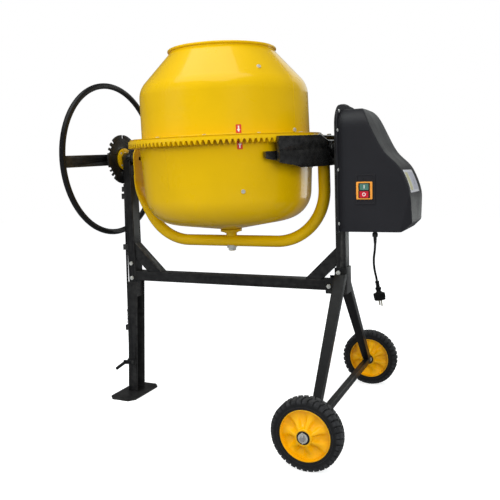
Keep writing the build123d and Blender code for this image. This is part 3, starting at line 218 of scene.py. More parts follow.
# ---------------------------------------------------------------- materials
def gloss_paint(name, colour, rough=0.28, coat=0.45):
    """Sprayed enamel: orange peel, slow colour drift, a faint haze that changes the gloss."""
    s = Shader(name, Coat_Weight=coat, Coat_Roughness=0.06, Coat_IOR=1.45, Specular_IOR_Level=0.15)
    drift = s.noise(3.5, 4.0, 0.55)
    tone = s.ramp(drift, [(0.30, shade(colour, 0.93)), (0.52, colour), (0.75, shade(colour, 1.05))])
    fleck = s.noise(420.0, 2.0)
    tone = s.mix(s.spread(fleck, 0.0, 0.10, 0.45, 0.75), tone, shade(colour, 0.82))
    s.colour(s.mix(s.edges(0.53, 0.70), tone, shade(colour, 0.72)))
    haze = s.noise(9.0, 5.0, 0.6, 0.4)
    s.rough(s.spread(haze, rough - 0.04, rough + 0.07))
    s.bump(s.noise(130.0, 2.0), 0.00003, 0.6)
    s.bump(s.noise(7.0, 2.0), 0.0008, 0.3)
    return s.material


def powder_coat(name, colour, rough=0.40):
    """Powder coat: a fine pebbled skin, slightly rubbed and dusty in patches."""
    s = Shader(name, Coat_Weight=0.10, Coat_Roughness=0.20, Specular_IOR_Level=0.26)
    drift = s.noise(6.0, 4.0, 0.6)
    tone = s.ramp(drift, [(0.32, shade(colour, 0.8)), (0.55, colour), (0.78, shade(colour, 1.35))])
    dust = s.spread(s.noise(38.0, 6.0, 0.7), 0.0, 0.14, 0.55, 0.80)
    s.colour(s.mix(s.edges(), s.mix(dust, tone, (0.034, 0.033, 0.032)), (0.085, 0.083, 0.080)))
    s.rough(s.spread(s.noise(22.0, 5.0, 0.6), rough - 0.07, rough + 0.10))
    s.bump(s.noise(900.0, 2.0), 0.00010, 0.7)
    s.bump(s.noise(160.0, 2.0), 0.00015, 0.5)
    return s.material


def moulded_plastic(name, colour, rough=0.46, grain=620.0, depth=0.00012, coat=0.0):
    """Injection-moulded plastic with a spark-eroded grain."""
    s = Shader(name, Coat_Weight=coat, Coat_Roughness=0.12, Specular_IOR_Level=0.38)
    drift = s.noise(5.0, 3.0)
    tone = s.ramp(drift, [(0.30, shade(colour, 0.88)), (0.55, colour), (0.80, shade(colour, 1.10))])
    s.colour(s.mix(s.edges(), tone, tuple(c * 0.75 + 0.05 for c in colour)))
    s.rough(s.spread(s.noise(14.0, 5.0, 0.6), rough - 0.05, rough + 0.08))
    s.bump(s.cells(grain), depth, 0.8)
    s.bump(s.noise(60.0, 2.0), 0.00012, 0.4)
    return s.material


def black_rubber(name, colour, rough=0.72, specular=0.35, sheen=0.08):
    """Rubber: dull, faintly mottled, with a chalky bloom on what stands out."""
    s = Shader(name, Specular_IOR_Level=specular, Sheen_Weight=sheen, Sheen_Roughness=0.5)
    mottle = s.noise(28.0, 6.0, 0.7)
    tone = s.ramp(mottle, [(0.30, shade(colour, 0.7)), (0.60, colour), (0.80, shade(colour, 1.9))])
    bloom = s.spread(s.noise(120.0, 4.0, 0.7), 0.0, 0.30, 0.55, 0.85)
    s.colour(s.mix(s.edges(), s.mix(bloom, tone, shade(colour, 2.6)), shade(colour, 6.0)))
    s.rough(s.spread(s.noise(45.0, 5.0), rough - 0.10, rough + 0.12))
    s.bump(s.noise(700.0, 3.0), 0.00012, 0.7)
    s.bump(s.noise(90.0, 3.0), 0.00025, 0.5)
    return s.material


def plated_steel(name, colour, rough=0.30, metallic=0.75):
    """Bright zinc or ground steel: cloudy crystals, fine scratches."""
    s = Shader(name, Metallic=metallic)
    cloud = s.cells(180.0, "SMOOTH_F1")
    tone = s.ramp(cloud, [(0.10, shade(colour, 0.82)), (0.50, colour), (0.95, shade(colour, 1.12))])
    s.colour(s.mix(s.edges(), tone, shade(colour, 1.25)))
    s.rough(s.spread(s.noise(260.0, 5.0, 0.6), rough - 0.08, rough + 0.16))
    s.bump(s.noise(1400.0, 3.0), 0.00004, 0.6)
    s.bump(s.noise(220.0, 2.0), 0.00008, 0.5)
    return s.material


def cast_paint(name, colour, rough=0.42):
    """Sand casting under black paint."""
    s = Shader(name, Coat_Weight=0.3, Coat_Roughness=0.12)
    drift = s.noise(18.0, 5.0, 0.6)
    tone = s.ramp(drift, [(0.30, shade(colour, 0.75)), (0.55, colour), (0.80, shade(colour, 1.5))])
    s.colour(s.mix(s.edges(), tone, (0.060, 0.058, 0.056)))
    s.rough(s.spread(s.noise(70.0, 5.0, 0.65), rough - 0.10, rough + 0.12))
    s.bump(s.noise(330.0, 4.0, 0.6), 0.00018, 0.6)
    s.bump(s.cells(120.0), 0.00010, 0.4)
    return s.material


def vinyl(name, colour):
    """Printed vinyl sticker."""
    s = Shader(name, Coat_Weight=0.5, Coat_Roughness=0.12)
    s.colour(s.ramp(s.noise(60.0, 3.0), [(0.30, shade(colour, 0.92)), (0.70, shade(colour, 1.04))]))
    s.rough(s.spread(s.noise(40.0, 3.0), 0.26, 0.38))
    s.bump(s.noise(300.0, 2.0), 0.00003, 0.5)
    return s.material


def floor_paint(name):
    """Pale studio floor that fades into the white backdrop and stays dim in reflections."""
    s = Shader(name, Specular_IOR_Level=0.1, Emission_Color=(1.0, 1.0, 1.0, 1.0))
    seen = s.tree.nodes.new("ShaderNodeLightPath").outputs["Is Camera Ray"]
    pale = s.ramp(s.noise(1.5, 4.0), [(0.35, (0.84, 0.84, 0.84)), (0.65, (0.88, 0.88, 0.88))])
    s.colour(s.mix(seen, (0.27, 0.27, 0.28), pale))
    s.rough(s.spread(s.noise(6.0, 3.0), 0.75, 0.9))
    s.link(s.spread(seen, 0.0, 0.62, 0.0, 1.0), s.bsdf.inputs["Emission Strength"])
    return s.material


YELLOW = (0.780, 0.470, 0.0005)
ORANGE = (0.960, 0.480, 0.001)
BLACK = (0.0062, 0.0062, 0.0072)

MATERIALS = {
    "drum_paint": gloss_paint("yellow_enamel", YELLOW),
    "frame_paint": powder_coat("black_powder_coat", BLACK),
    "zinc": plated_steel("zinc_plate", (0.74, 0.74, 0.71), 0.34, 0.55),
    "steel": plated_steel("ground_steel", (0.50, 0.50, 0.51), 0.36),
    "cast_iron": cast_paint("black_casting", (0.0040, 0.0040, 0.0045), 0.28),
    "aluminium": plated_steel("cast_aluminium", (0.58, 0.59, 0.60), 0.46),
    "housing_plastic": moulded_plastic("housing_plastic", (0.0165, 0.0162, 0.0198), 0.52),
    "wheel_plastic": moulded_plastic("wheel_plastic", ORANGE, 0.30, 300.0, 0.00005, 0.35),
    "black_plastic": moulded_plastic("black_plastic", (0.012, 0.012, 0.012), 0.40),
    "switch_plastic": moulded_plastic("switch_plastic", (0.860, 0.330, 0.045), 0.30, 500.0, 0.00005, 0.3),
    "on_green": moulded_plastic("on_green", (0.075, 0.185, 0.150), 0.30, 500.0, 0.00004, 0.4),
    "off_red": moulded_plastic("off_red", (0.560, 0.012, 0.030), 0.30, 500.0, 0.00004, 0.4),
    "tyre": black_rubber("tyre_rubber", (0.0105, 0.0105, 0.0115)),
    "rubber": black_rubber("cord_rubber", (0.0035, 0.0035, 0.0037), 0.50, 0.22, 0.0),
    "brass": plated_steel("nickel_plate", (0.68, 0.64, 0.52), 0.24),
    "label_red": vinyl("red_vinyl", (0.660, 0.025, 0.010)),
    "label_white": vinyl("white_vinyl", (0.860, 0.860, 0.900)),
}
WHITE_INK = vinyl("white_ink", (0.86, 0.86, 0.84))
TINT_YELLOW = vinyl("pale_yellow_vinyl", (0.760, 0.720, 0.440))
TINT_GREY = vinyl("pale_grey_vinyl", (0.640, 0.640, 0.730))


# ---------------------------------------------------------------- mesh helpers
def loose(name, bm):
    """A bare mesh object from a bmesh, with its faces turned outwards."""
    bmesh.ops.recalc_face_normals(bm, faces=bm.faces)
    mesh = bpy.data.meshes.new(name)
    bm.to_mesh(mesh)
    bm.free()
    obj = bpy.data.objects.new(name, mesh)
    bpy.context.scene.collection.objects.link(obj)
    return obj


def finished(name, bm, slot, body, replaces=(), place=None, bevel=0.0, sharp=35.0, segments=2):
    """A mesh object from a bmesh: placed, shaded, given its material, its body and what it stands for."""
    if place is not None:
        bm.transform(place)
    obj = loose(name, bm)
    mesh = obj.data
    mesh.polygons.foreach_set("use_smooth", [True] * len(mesh.polygons))
    mesh.set_sharp_from_angle(angle=math.radians(sharp))
    if bevel:
        soften(obj, bevel, sharp, segments)
    mesh.materials.append(slot if isinstance(slot, bpy.types.Material) else MATERIALS[slot])
    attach(obj, body)
    if replaces:
        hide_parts(*replaces)
    return obj


def soften(obj, width, sharp=35.0, segments=2):
    """Rounds an object's sharp edges a little, so that they catch the light."""
    bevel = obj.modifiers.new("edges", "BEVEL")
    bevel.width = width
    bevel.segments = segments
    bevel.limit_method = "ANGLE"
    bevel.angle_limit = math.radians(sharp)
    bevel.harden_normals = True
    bevel.miter_outer = "MITER_ARC"


def ring_of(bm, points):
    return [bm.verts.new(p) for p in points]


def bridge(bm, one, two):
    """Quads between two rings of as many points."""
    for k in range(len(one)):
        j = (k + 1) % len(one)
        bm.faces.new((one[k], one[j], two[j], two[k]))


def lathe(outline, steps=256, bm=None):
    """A closed outline of (radius, height) turned about Z."""
    bm = bm or bmesh.new()
    rings = []
    for k in range(steps):
        c, s = math.cos(TAU * k / steps), math.sin(TAU * k / steps)
        rings.append(ring_of(bm, [(r * c, r * s, h) for r, h in outline]))
    for k in range(steps):
        bridge(bm, rings[k], rings[(k + 1) % steps])
    return bm


def rounded(corners, radii, steps=12):
    """An open chain of 2-D points with its inner corners turned into arcs."""
    out = [tuple(corners[0])]
    for before, corner, after, radius in zip(corners, corners[1:], corners[2:], radii):
        before, corner, after = Vector(before), Vector(corner), Vector(after)
        back, ahead = (before - corner).normalized(), (after - corner).normalized()
        half = back.angle(ahead) / 2
        centre = corner + (back + ahead).normalized() * radius / math.sin(half)
        start = corner + back * radius / math.tan(half) - centre
        end = corner + ahead * radius / math.tan(half) - centre
        turn = start.angle_signed(end)
        for k in range(steps + 1):
            angle = -turn * k / steps
            c, s = math.cos(angle), math.sin(angle)
            out.append((centre.x + start.x * c - start.y * s, centre.y + start.x * s + start.y * c))
    return out + [tuple(corners[-1])]


def offset(chain, distance):
    """The same chain moved sideways; positive is to the left of its direction."""
    out = []
    for k, point in enumerate(chain):
        one = Vector(chain[max(k - 1, 0)])
        two = Vector(chain[min(k + 1, len(chain) - 1)])
        along = (two - one).normalized()
        out.append((point[0] - along.y * distance, point[1] + along.x * distance))
    return out


def circle(radius, steps, centre=(0.0, 0.0)):
    angles = [TAU * k / steps for k in range(steps)]
    return [(centre[0] + radius * math.cos(a), centre[1] + radius * math.sin(a)) for a in angles]


def swept(sections, bm=None):
    """A closed skin over a list of point rings."""
    bm = bm or bmesh.new()
    rings = [ring_of(bm, points) for points in sections]
    for one, two in zip(rings, rings[1:]):
        bridge(bm, one, two)
    bm.faces.new(rings[0])
    bm.faces.new(list(reversed(rings[-1])))
    return bm


def slab(bm, outline, low, high, place=Matrix.Identity(4)):
    """A flat outline of (x, y) between two heights, put in place by a matrix."""
    bottom = ring_of(bm, [place @ Vector((x, y, low)) for x, y in outline])
    top = ring_of(bm, [place @ Vector((x, y, high)) for x, y in outline])
    bridge(bm, bottom, top)
    bm.faces.new(list(reversed(bottom)))
    bm.faces.new(top)
    return bm


def flat_ring(bm, outer, inner, low, high, place):
    """A flat ring between two outlines of as many points, from one height to another."""
    layers = []
    for z in (low, high):
        points = [[place @ Vector((x, y, z)) for x, y in chain] for chain in (outer, inner)]
        layers.append([ring_of(bm, chain) for chain in points])
    bridge(bm, layers[0][0], layers[1][0])
    bridge(bm, layers[1][1], layers[0][1])
    bridge(bm, layers[1][0], layers[1][1])
    bridge(bm, layers[0][1], layers[0][0])


def pad_outline(wide, high, radius, steps=6):
    """A rectangle with round corners, centred."""
    out = []
    for sx, sy, start in ((1, 1, 0.0), (-1, 1, 0.25), (-1, -1, 0.5), (1, -1, 0.75)):
        for k in range(steps + 1):
            angle = TAU * (start + 0.25 * k / steps)
            x = sx * (wide / 2 - radius) + radius * math.cos(angle)
            y = sy * (high / 2 - radius) + radius * math.sin(angle)
            out.append((x, y))
    return out


# ---------------------------------------------------------------- drum
def upper_wall():
    """Outer line of the upper half, from the mouth down to the seam."""
    corners = [MOUTH, (MOUTH[0], MOUTH[1] - 0.012), SHOULDER, (SEAM_UPPER_R, SEAM_H)]
    return rounded(corners, [0.008, 0.080], 20)


def lower_wall():
    """Outer line of the lower half, from the seam down to the hub."""
    corners = [(SEAM_LOWER_R, SEAM_H - SHEET), FLOOR_EDGE, FLOOR_CENTRE]
    return rounded(corners, [0.104], 28)


def upper_drum():
    """Upper shell with its rolled mouth, its flange and two weld beads."""
    wall = upper_wall()
    inner = offset(wall, -SHEET)
    top = SEAM_H + SHEET
    seam = [
        (FLANGE_R - 0.002, top),
        (FLANGE_R, top - 0.0008),
        (FLANGE_R, SEAM_H + 0.0006),
        (FLANGE_R - 0.0015, SEAM_H),
    ]
    root = [(SEAM_UPPER_R, top + 0.003), (SEAM_UPPER_R + 0.003, top)]
    bm = lathe(wall[:-1] + root + seam + list(reversed(inner)), DRUM_STEPS)
    lip = circle(LIP_R, 20, (MOUTH[0] + 0.0015, MOUTH[1] - 0.003))
    lathe(lip, DRUM_STEPS, bm)
    for turn in (0.0, 180.0):
        weld(bm, wall, WELD_AZIMUTH + turn, 0.070, 0.352)
    return finished("drum_upper_shell", bm, "drum_paint", "drum", ["upper_drum"], LEANING, sharp=40)


def lower_drum():
    """Lower shell with its flange and two weld beads."""
    wall = lower_wall()
    inner = offset(wall, -SHEET)
    top = SEAM_H - 0.0002
    low = top - SHEET
    rim = [
        (FLANGE_R - 0.0015, top),
        (FLANGE_R, top - 0.0006),
        (FLANGE_R, low + 0.0008),
        (FLANGE_R - 0.002, low),
    ]
    root = (SEAM_LOWER_R + 0.003, low)
    bm = lathe(list(reversed(inner)) + [(SEAM_LOWER_R - SHEET, top)] + rim + [root] + wall, DRUM_STEPS)
    for turn in (90.0, 270.0):
        weld(bm, wall, WELD_AZIMUTH + turn, -0.120, 0.040)
    return finished("drum_lower_shell", bm, "drum_paint", "drum", ["lower_drum"], LEANING, sharp=40)


def densified(line, step):
    """The same chain with points no further apart than a step."""
    out = []
    for a, b in zip(line, line[1:]):
        count = max(1, round((b - a).length / step))
        out += [a.lerp(b, k / count) for k in range(count)]
    return out + [line[-1]]


def weld(bm, wall, azimuth, low, high, half=0.0034, rise=0.0011):
    """A ground-down weld bead that runs down the drum's outside."""
    line = densified([Vector((r, 0, h)) for r, h in wall], 0.004)
    points = [p for p in line if low <= p.z <= high]
    turn = Matrix.Rotation(math.radians(azimuth), 4, "Z")
    sections = []
    for k, point in enumerate(points):
        along = (points[min(k + 1, len(points) - 1)] - points[max(k - 1, 0)]).normalized()
        out = Vector((-along.z, 0, along.x))
        wobble = 1 + 0.35 * noise.noise(point * 220)
        taper = min(1.0, k / 4, (len(points) - 1 - k) / 4) + 0.02
        section = []
        for s in (-1.0, -0.6, -0.25, 0.25, 0.6, 1.0):
            lift = (1 - s * s) * rise * wobble * taper - 0.0004
            section.append(turn @ (point + out * lift + Vector((0, s * half * wobble, 0))))
        section += [turn @ (point - out * 0.0012 + Vector((0, s * half, 0))) for s in (0.8, -0.8)]
        sections.append(section)
    swept(sections, bm)


def wrapped(bm, radius, azimuth, height, cone):
    """Bends flat (x, y, z) points round the drum: x along the wall, y up it, z outwards."""
    for v in bm.verts:
        x, y, z = v.co
        r = radius + cone * y + z
        a = math.radians(azimuth) + x / radius
        v.co = (r * math.cos(a), r * math.sin(a), height + y)


def fine_slab(outline, low, high, step=0.002):
    """A flat slab cut across X often enough to be bent."""
    bm = slab(bmesh.new(), outline, low, high)
    lo = min(x for x, _ in outline)
    hi = max(x for x, _ in outline)
    x = lo + step
    while x < hi - step / 2:
        everything = bm.verts[:] + bm.edges[:] + bm.faces[:]
        bmesh.ops.bisect_plane(bm, geom=everything, plane_co=(x, 0, 0), plane_no=(1, 0, 0))
        x += step
    return bm


def arrow_label(name, height, radius, cone, up):
    """A red sticker with a white arrow, bent to the drum."""
    bm = fine_slab(pad_outline(0.018, 0.028, 0.002), -0.0006, 0.0003)
    wrapped(bm, radius, LABEL_AZIMUTH, height, cone)
    sticker = finished(f"{name}_sticker", bm, "label_red", "drum", ["arrow_labels"], LEANING)
    s = 1 if up else -1
    tail, neck, tip = -0.010 * s, 0.001 * s, 0.0105 * s
    arrow = [
        (-0.0022, tail),
        (0.0022, tail),
        (0.0022, neck),
        (0.0058, neck),
        (0.0, tip),
        (-0.0058, neck),
        (-0.0022, neck),
    ]
    bm = fine_slab(arrow, 0.0002, 0.00045)
    wrapped(bm, radius, LABEL_AZIMUTH, height, cone)
    finished(f"{name}_arrow", bm, WHITE_INK, "drum", place=LEANING)
    return sticker


def drum():
    upper_drum()
    lower_drum()
    arrow_label("upper", 0.081, 0.3060, -0.011, False)
    arrow_label("lower", 0.030, 0.3157, 0.056, True)


# ---------------------------------------------------------------- yoke and handwheel
def yoke_line():
    """Centre line of the bent tube, in the yoke's XZ plane."""
    corners = [(-YOKE_X, -0.062), (-YOKE_X, YOKE_LOW), (YOKE_X, YOKE_LOW), (YOKE_X, -0.050)]
    return densified([Vector(p) for p in rounded(corners, [YOKE_BEND, YOKE_BEND], 40)], 0.012)


def yoke():
    """Bent tube whose left end is pressed flat into the pivot plate."""
    line = yoke_line()
    steps = 40
    sections = []
    for k, point in enumerate(line):
        along = (line[min(k + 1, len(line) - 1)] - line[max(k - 1, 0)]).normalized()
        side = Vector((along.y, -along.x))
        flat = smooth_step((point.y + 0.235) / 0.150) if point.x < 0 else 0.0
        wide = YOKE_R + flat * 0.0205
        thick = YOKE_R + flat * (0.0050 - YOKE_R)
        shift = flat * (PLATE_X + YOKE_X)
        ring = []
        for i in range(steps):
            c, s = math.cos(TAU * i / steps), math.sin(TAU * i / steps)
            power = 1 - 0.45 * flat
            across = math.copysign(abs(c) ** power, c) * thick
            offset_y = math.copysign(abs(s) ** power, s) * wide
            spot = point + side * across
            ring.append((spot.x + shift, offset_y, spot.y))
        sections.append(ring)
    bm = swept(sections)
    pivot_plate(bm)
    return finished(
        "yoke_arm", bm, "drum_paint", "yoke", ["yoke_tube"], LEANING, bevel=0.0012, sharp=50, segments=3
    )


def smooth_step(t):
    t = max(0.0, min(1.0, t))
    return t * t * (3 - 2 * t)


def pivot_plate(bm):
    """Flat plate on the left end, with a round top and a hole that opens into the tilt tube."""
    half, top, low, bore = 0.042, 0.004, -0.085, 0.0085
    steps = 48
    outer, inner = [], []
    for k in range(steps):
        a = TAU * k / steps
        c, s = math.cos(a), math.sin(a)
        if s >= 0:
            outer.append((half * c, top + half * s))
        else:
            drop = -s / max(abs(c), abs(s))
            edge = c / max(abs(c), abs(s))
            outer.append((half * edge, top + (low - top) * drop))
        inner.append((bore * c, bore * s))
    flat_ring(bm, outer, inner, PLATE_X + 0.0001, PLATE_X + 0.0046, SIDEWAYS)


def handwheel():
    """Tube rim with a weld at each end of the bar."""
    low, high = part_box("handwheel_rim")
    tube = 0.011
    radius = (high.z - low.z) / 2 - tube
    centre = (low + high) / 2
    bm = lathe(circle(tube, 28, (radius, 0.0)), 200)
    for side in (-1, 1):
        for k in range(14):
            z = (k - 6.5) * 0.0031
            blob = bmesh.ops.create_icosphere(bm, subdivisions=2, radius=0.0042)
            spot = Vector((z, side * (radius - tube * 0.92), 0))
            for v in blob["verts"]:
                v.co = Vector((v.co.x * 0.8, v.co.y * 0.8, v.co.z * 1.35)) + spot
                v.co += v.co.normalized() * 0.0006 * noise.noise(v.co * 400)
    upright = Matrix.Rotation(math.radians(90), 4, "Y")
    lean = LEANING.to_3x3().to_4x4()
    place = Matrix.Translation(centre) @ lean @ upright
    return finished("handwheel_ring", bm, "frame_paint", "yoke", ["handwheel_rim"], place)


# ---------------------------------------------------------------- wheels
def wheel_place(side):
    """Wheel coordinates: +Z outwards along the axle, +X forwards, +Y up or down."""
    spin = JOINTS["front_wheel_spin" if side < 0 else "rear_wheel_spin"]["pos_m"]
    turn = Matrix.Rotation(math.radians(90 if side < 0 else -90), 4, "X")
    return Matrix.Translation(Vector(spin)) @ turn


def face_height(r, angle):
    """Height of the wheel centre's face: a web with broad rays that rises to the hub."""
    t = (r - BUSH_R) / (RIM_R - BUSH_R)
    ray = 0.5 + 0.5 * math.cos(RAYS * (angle - RAY_PHASE))
    ray = smooth_step(ray) ** (1.5 - 0.7 * t)
    valley = 0.0065 + 0.0175 * (1 - smooth_step(t / 0.55)) ** 1.6
    ridge = 0.0125 + 0.0190 * (1 - smooth_step(t / 0.85)) ** 1.3
    height = valley + (ridge - valley) * ray
    hub = smooth_step((0.115 - t) / 0.045)
    height += (HUB_HALF - height) * hub
    wall = smooth_step((t - 0.955) / 0.012)
    height += (TYRE_HALF - 0.0010 - height) * wall
    crown = smooth_step((t - 0.985) / 0.015)
    return height - crown * 0.0010


def wheel_centre(side):
    """Plastic centre with the same face on both sides; its rings are closer where the face is steeper."""
    bm = bmesh.new()
    angles = [TAU * k / 252 for k in range(252)]
    hub = [0, 0.02, 0.05, 0.066, 0.074, 0.084, 0.094, 0.104, 0.115, 0.13, 0.15, 0.18, 0.21]
    web = [0.25, 0.30, 0.35, 0.40, 0.46, 0.52, 0.58, 0.64, 0.70, 0.76, 0.82, 0.87, 0.91, 0.94]
    rim = [0.953, 0.957, 0.961, 0.965, 0.969, 0.975, 0.984, 0.992, 1.0]
    faces = []
    for sign in (1, -1):
        rings = []
        for t in hub + web + rim:
            r = BUSH_R + (RIM_R - BUSH_R) * t
            points = [(r * math.cos(a), r * math.sin(a), sign * face_height(r, a)) for a in angles]
            rings.append(ring_of(bm, points))
        for one, two in zip(rings, rings[1:]):
            bridge(bm, one, two)
        faces.append(rings)
    bridge(bm, faces[0][0], faces[1][0])
    bridge(bm, faces[0][-1], faces[1][-1])
    word = "front" if side < 0 else "rear"
    name, replaced = f"{word}_wheel_centre", [f"{word}_wheel_disc"]
    return finished(name, bm, "wheel_plastic", f"{word}_wheel", replaced, wheel_place(side), sharp=60)


def tyre(side):
    """Solid tyre: round shoulders, a moulded line on the wall, slanting tread blocks."""
    half = TYRE_HALF
    core = WHEEL_R - 0.0032
    corners = [
        (RIM_R, half - 0.004),
        (RIM_R + 0.004, half),
        (core - 0.009, half - 0.0005),
        (core - 0.0010, half - 0.008),
        (core, 0.0),
    ]
    wall = rounded(corners, [0.002, 0.006, 0.006], 6)
    outline = wall + [(r, -h) for r, h in reversed(wall)][1:]
    bm = lathe(outline, 216)
    for sign in (-1, 1):
        bead = circle(0.0009, 10, (RIM_R + 0.0085, sign * (half - 0.0002)))
        lathe(bead, 160, bm)
        for k in range(TREADS):
            tread_block(bm, TAU * (k + (0.5 if sign > 0 else 0.0)) / TREADS, sign)
    word = "front" if side < 0 else "rear"
    name, replaced = f"{word}_tread", [f"{word}_tyre"]
    return finished(name, bm, "tyre", f"{word}_wheel", replaced, wheel_place(side), bevel=0.0009, sharp=40)


def tread_block(bm, angle, sign):
    """One block: it starts at the middle of the tread and wraps over the shoulder."""
    half_angle = 0.36 * TAU / TREADS
    path = [  # height across the tread, outer radius, inner radius, slant
        (0.0006, WHEEL_R - 0.0005, WHEEL_R - 0.009, 0.00),
        (0.0165, WHEEL_R - 0.0006, WHEEL_R - 0.009, 0.75),
        (0.0212, WHEEL_R - 0.0030, WHEEL_R - 0.012, 0.90),
        (TYRE_HALF, WHEEL_R - 0.0080, WHEEL_R - 0.0150, 0.95),
        (TYRE_HALF - 0.0002, WHEEL_R - 0.0135, WHEEL_R - 0.0165, 0.95),
    ]
    sections = []
    for across, outer, inner, slant in path:
        lean = slant * half_angle * 1.1
        ring = []
        for r, a in ((outer, -half_angle), (outer, half_angle), (inner, half_angle), (inner, -half_angle)):
            turn = angle + lean + a
            height = sign * across * (1.0 if r == outer else 0.97)
            ring.append((r * math.cos(turn), r * math.sin(turn), height))
        sections.append(ring)
    swept(sections, bm)


# ---------------------------------------------------------------- drive housing
def evaluated(obj):
    """A plain mesh of what an object looks like with its modifiers."""
    depsgraph = bpy.context.evaluated_depsgraph_get()
    depsgraph.update()
    return bpy.data.meshes.new_from_object(obj.evaluated_get(depsgraph))


def arch_outline(half, top, low, corner, steps=12):
    """A flat-topped arch of (y, z), anticlockwise from its lower left corner."""
    left = rounded([(half, low), (half, top - 0.007), (0.0, top + 0.002)], [corner], steps)
    return left[:-1] + [(0.0, top - 0.0005)] + [(-y, z) for y, z in reversed(left[:-1])]


def back_curve():
    """The S of the housing's sloping back, as a chain of (x, z)."""
    knots = [  # a point, and the curve's direction there
        (Vector((0.516, HOUSE_TOP + 0.001)), Vector((0.062, 0.0))),
        (Vector((0.559, 1.033)), Vector((0.034, -0.072))),
        (Vector((0.602, 0.948)), Vector((0.050, -0.080))),
        (Vector((0.660, 0.882)), Vector((0.044, -0.084))),
        (Vector((0.690, 0.780)), Vector((0.0, -0.104))),
    ]
    shift = Vector((ORIGIN_X, 0.0))
    out = []
    for (a, slope_a), (b, slope_b) in zip(knots, knots[1:]):
        for k in range(12):
            t = k / 12
            t2, t3 = t * t, t ** 3
            from_a = a * (2 * t3 - 3 * t2 + 1) + slope_a * (t3 - 2 * t2 + t)
            from_b = b * (3 * t2 - 2 * t3) + slope_b * (t3 - t2)
            out.append(from_a + from_b - shift)
    return out + [knots[-1][0] - shift]


def housing_solid():
    """Where the arch and the side outline meet, less a wedge at each lower outer corner."""
    arch = arch_outline(HOUSE_HALF, HOUSE_TOP, HOUSE_LOW, 0.062)
    body = loose("arch", slab(bmesh.new(), arch, HOUSE_BACK - 0.020, HOUSE_OUT + 0.02, SIDEWAYS))
    behind, below = HOUSE_BACK - 0.027, HOUSE_LOW - 0.01
    side = [
        (behind, HOUSE_TOP + 0.02),
        (behind, below),
        (HOUSE_OUT - 0.0365, below),
        (HOUSE_OUT - 0.030, HOUSE_LOW),
        (HOUSE_OUT, 0.712),
    ]
    side += [(p.x, p.y) for p in reversed(back_curve())]
    upright = Matrix(((1, 0, 0, 0), (0, 0, 1, 0), (0, 1, 0, 0), (0, 0, 0, 1)))
    cutter = loose("side", slab(bmesh.new(), side, -0.2, 0.2, upright))
    combine(body, cutter, "INTERSECT")
    square = [(-0.4, -0.4), (0.4, -0.4), (0.4, 0.4), (-0.4, 0.4)]
    for s in (-1, 1):
        normal = Vector((34.0, s * 34.0, -9.0)).normalized()
        corner = Vector((HOUSE_OUT, s * HOUSE_HALF, 0.815))
        place = Matrix.Translation(corner) @ UP.rotation_difference(normal).to_matrix().to_4x4()
        wedge = loose("wedge", slab(bmesh.new(), square, 0.0, 0.2, place))
        combine(body, wedge, "DIFFERENCE")
    return body


def combine(body, tool, how):
    """Cuts or keeps one object's mesh by another's, and removes the other."""
    boolean = body.modifiers.new("cut", "BOOLEAN")
    boolean.operation = how
    boolean.solver = "EXACT"
    boolean.object = tool
    mesh = evaluated(body)
    body.modifiers.clear()
    body.data = mesh
    bpy.data.objects.remove(tool)


def housing_cover():
    """Moulded cover: the solid with its edges rounded, opened at the back and given its wall."""
    body = housing_solid()
    remesh = body.modifiers.new("grid", "REMESH")
    remesh.mode = "VOXEL"
    remesh.voxel_size = 0.0028
    relax = body.modifiers.new("relax", "SMOOTH")
    relax.factor = 0.5
    relax.iterations = 9
    mesh = evaluated(body)
    bpy.data.objects.remove(body)
    bm = bmesh.new()
    bm.from_mesh(mesh)
    everything = bm.verts[:] + bm.edges[:] + bm.faces[:]
    back = (HOUSE_BACK, 0, 0)
    bmesh.ops.bisect_plane(bm, geom=everything, plane_co=back, plane_no=(1, 0, 0), clear_inner=True)
    obj = finished("housing_cover", bm, "housing_plastic", "frame", ["drive_cover"], sharp=180)
    wall = obj.modifiers.new("wall", "SOLIDIFY")
    wall.thickness = WALL
    wall.offset = -1
    return obj


def housing_lip():
    """The cover's flange all round, against the back plate."""
    outer = arch_outline(0.134, 1.102, 0.683, 0.070, 14)
    inner = arch_outline(0.116, 1.081, 0.686, 0.060, 14)
    bm = bmesh.new()
    flat_ring(bm, outer, inner, HOUSE_BACK + 0.0002, HOUSE_BACK + 0.0045, SIDEWAYS)
    return finished("housing_flange", bm, "housing_plastic", "frame", bevel=0.0014, sharp=40, segments=3)


def facing(x, y, z):
    """A place on the housing's front, with local x to the right, y up and z towards the viewer."""
    return Matrix(((1, 0, 0, x), (0, 0, -1, y), (0, 1, 0, z), (0, 0, 0, 1)))


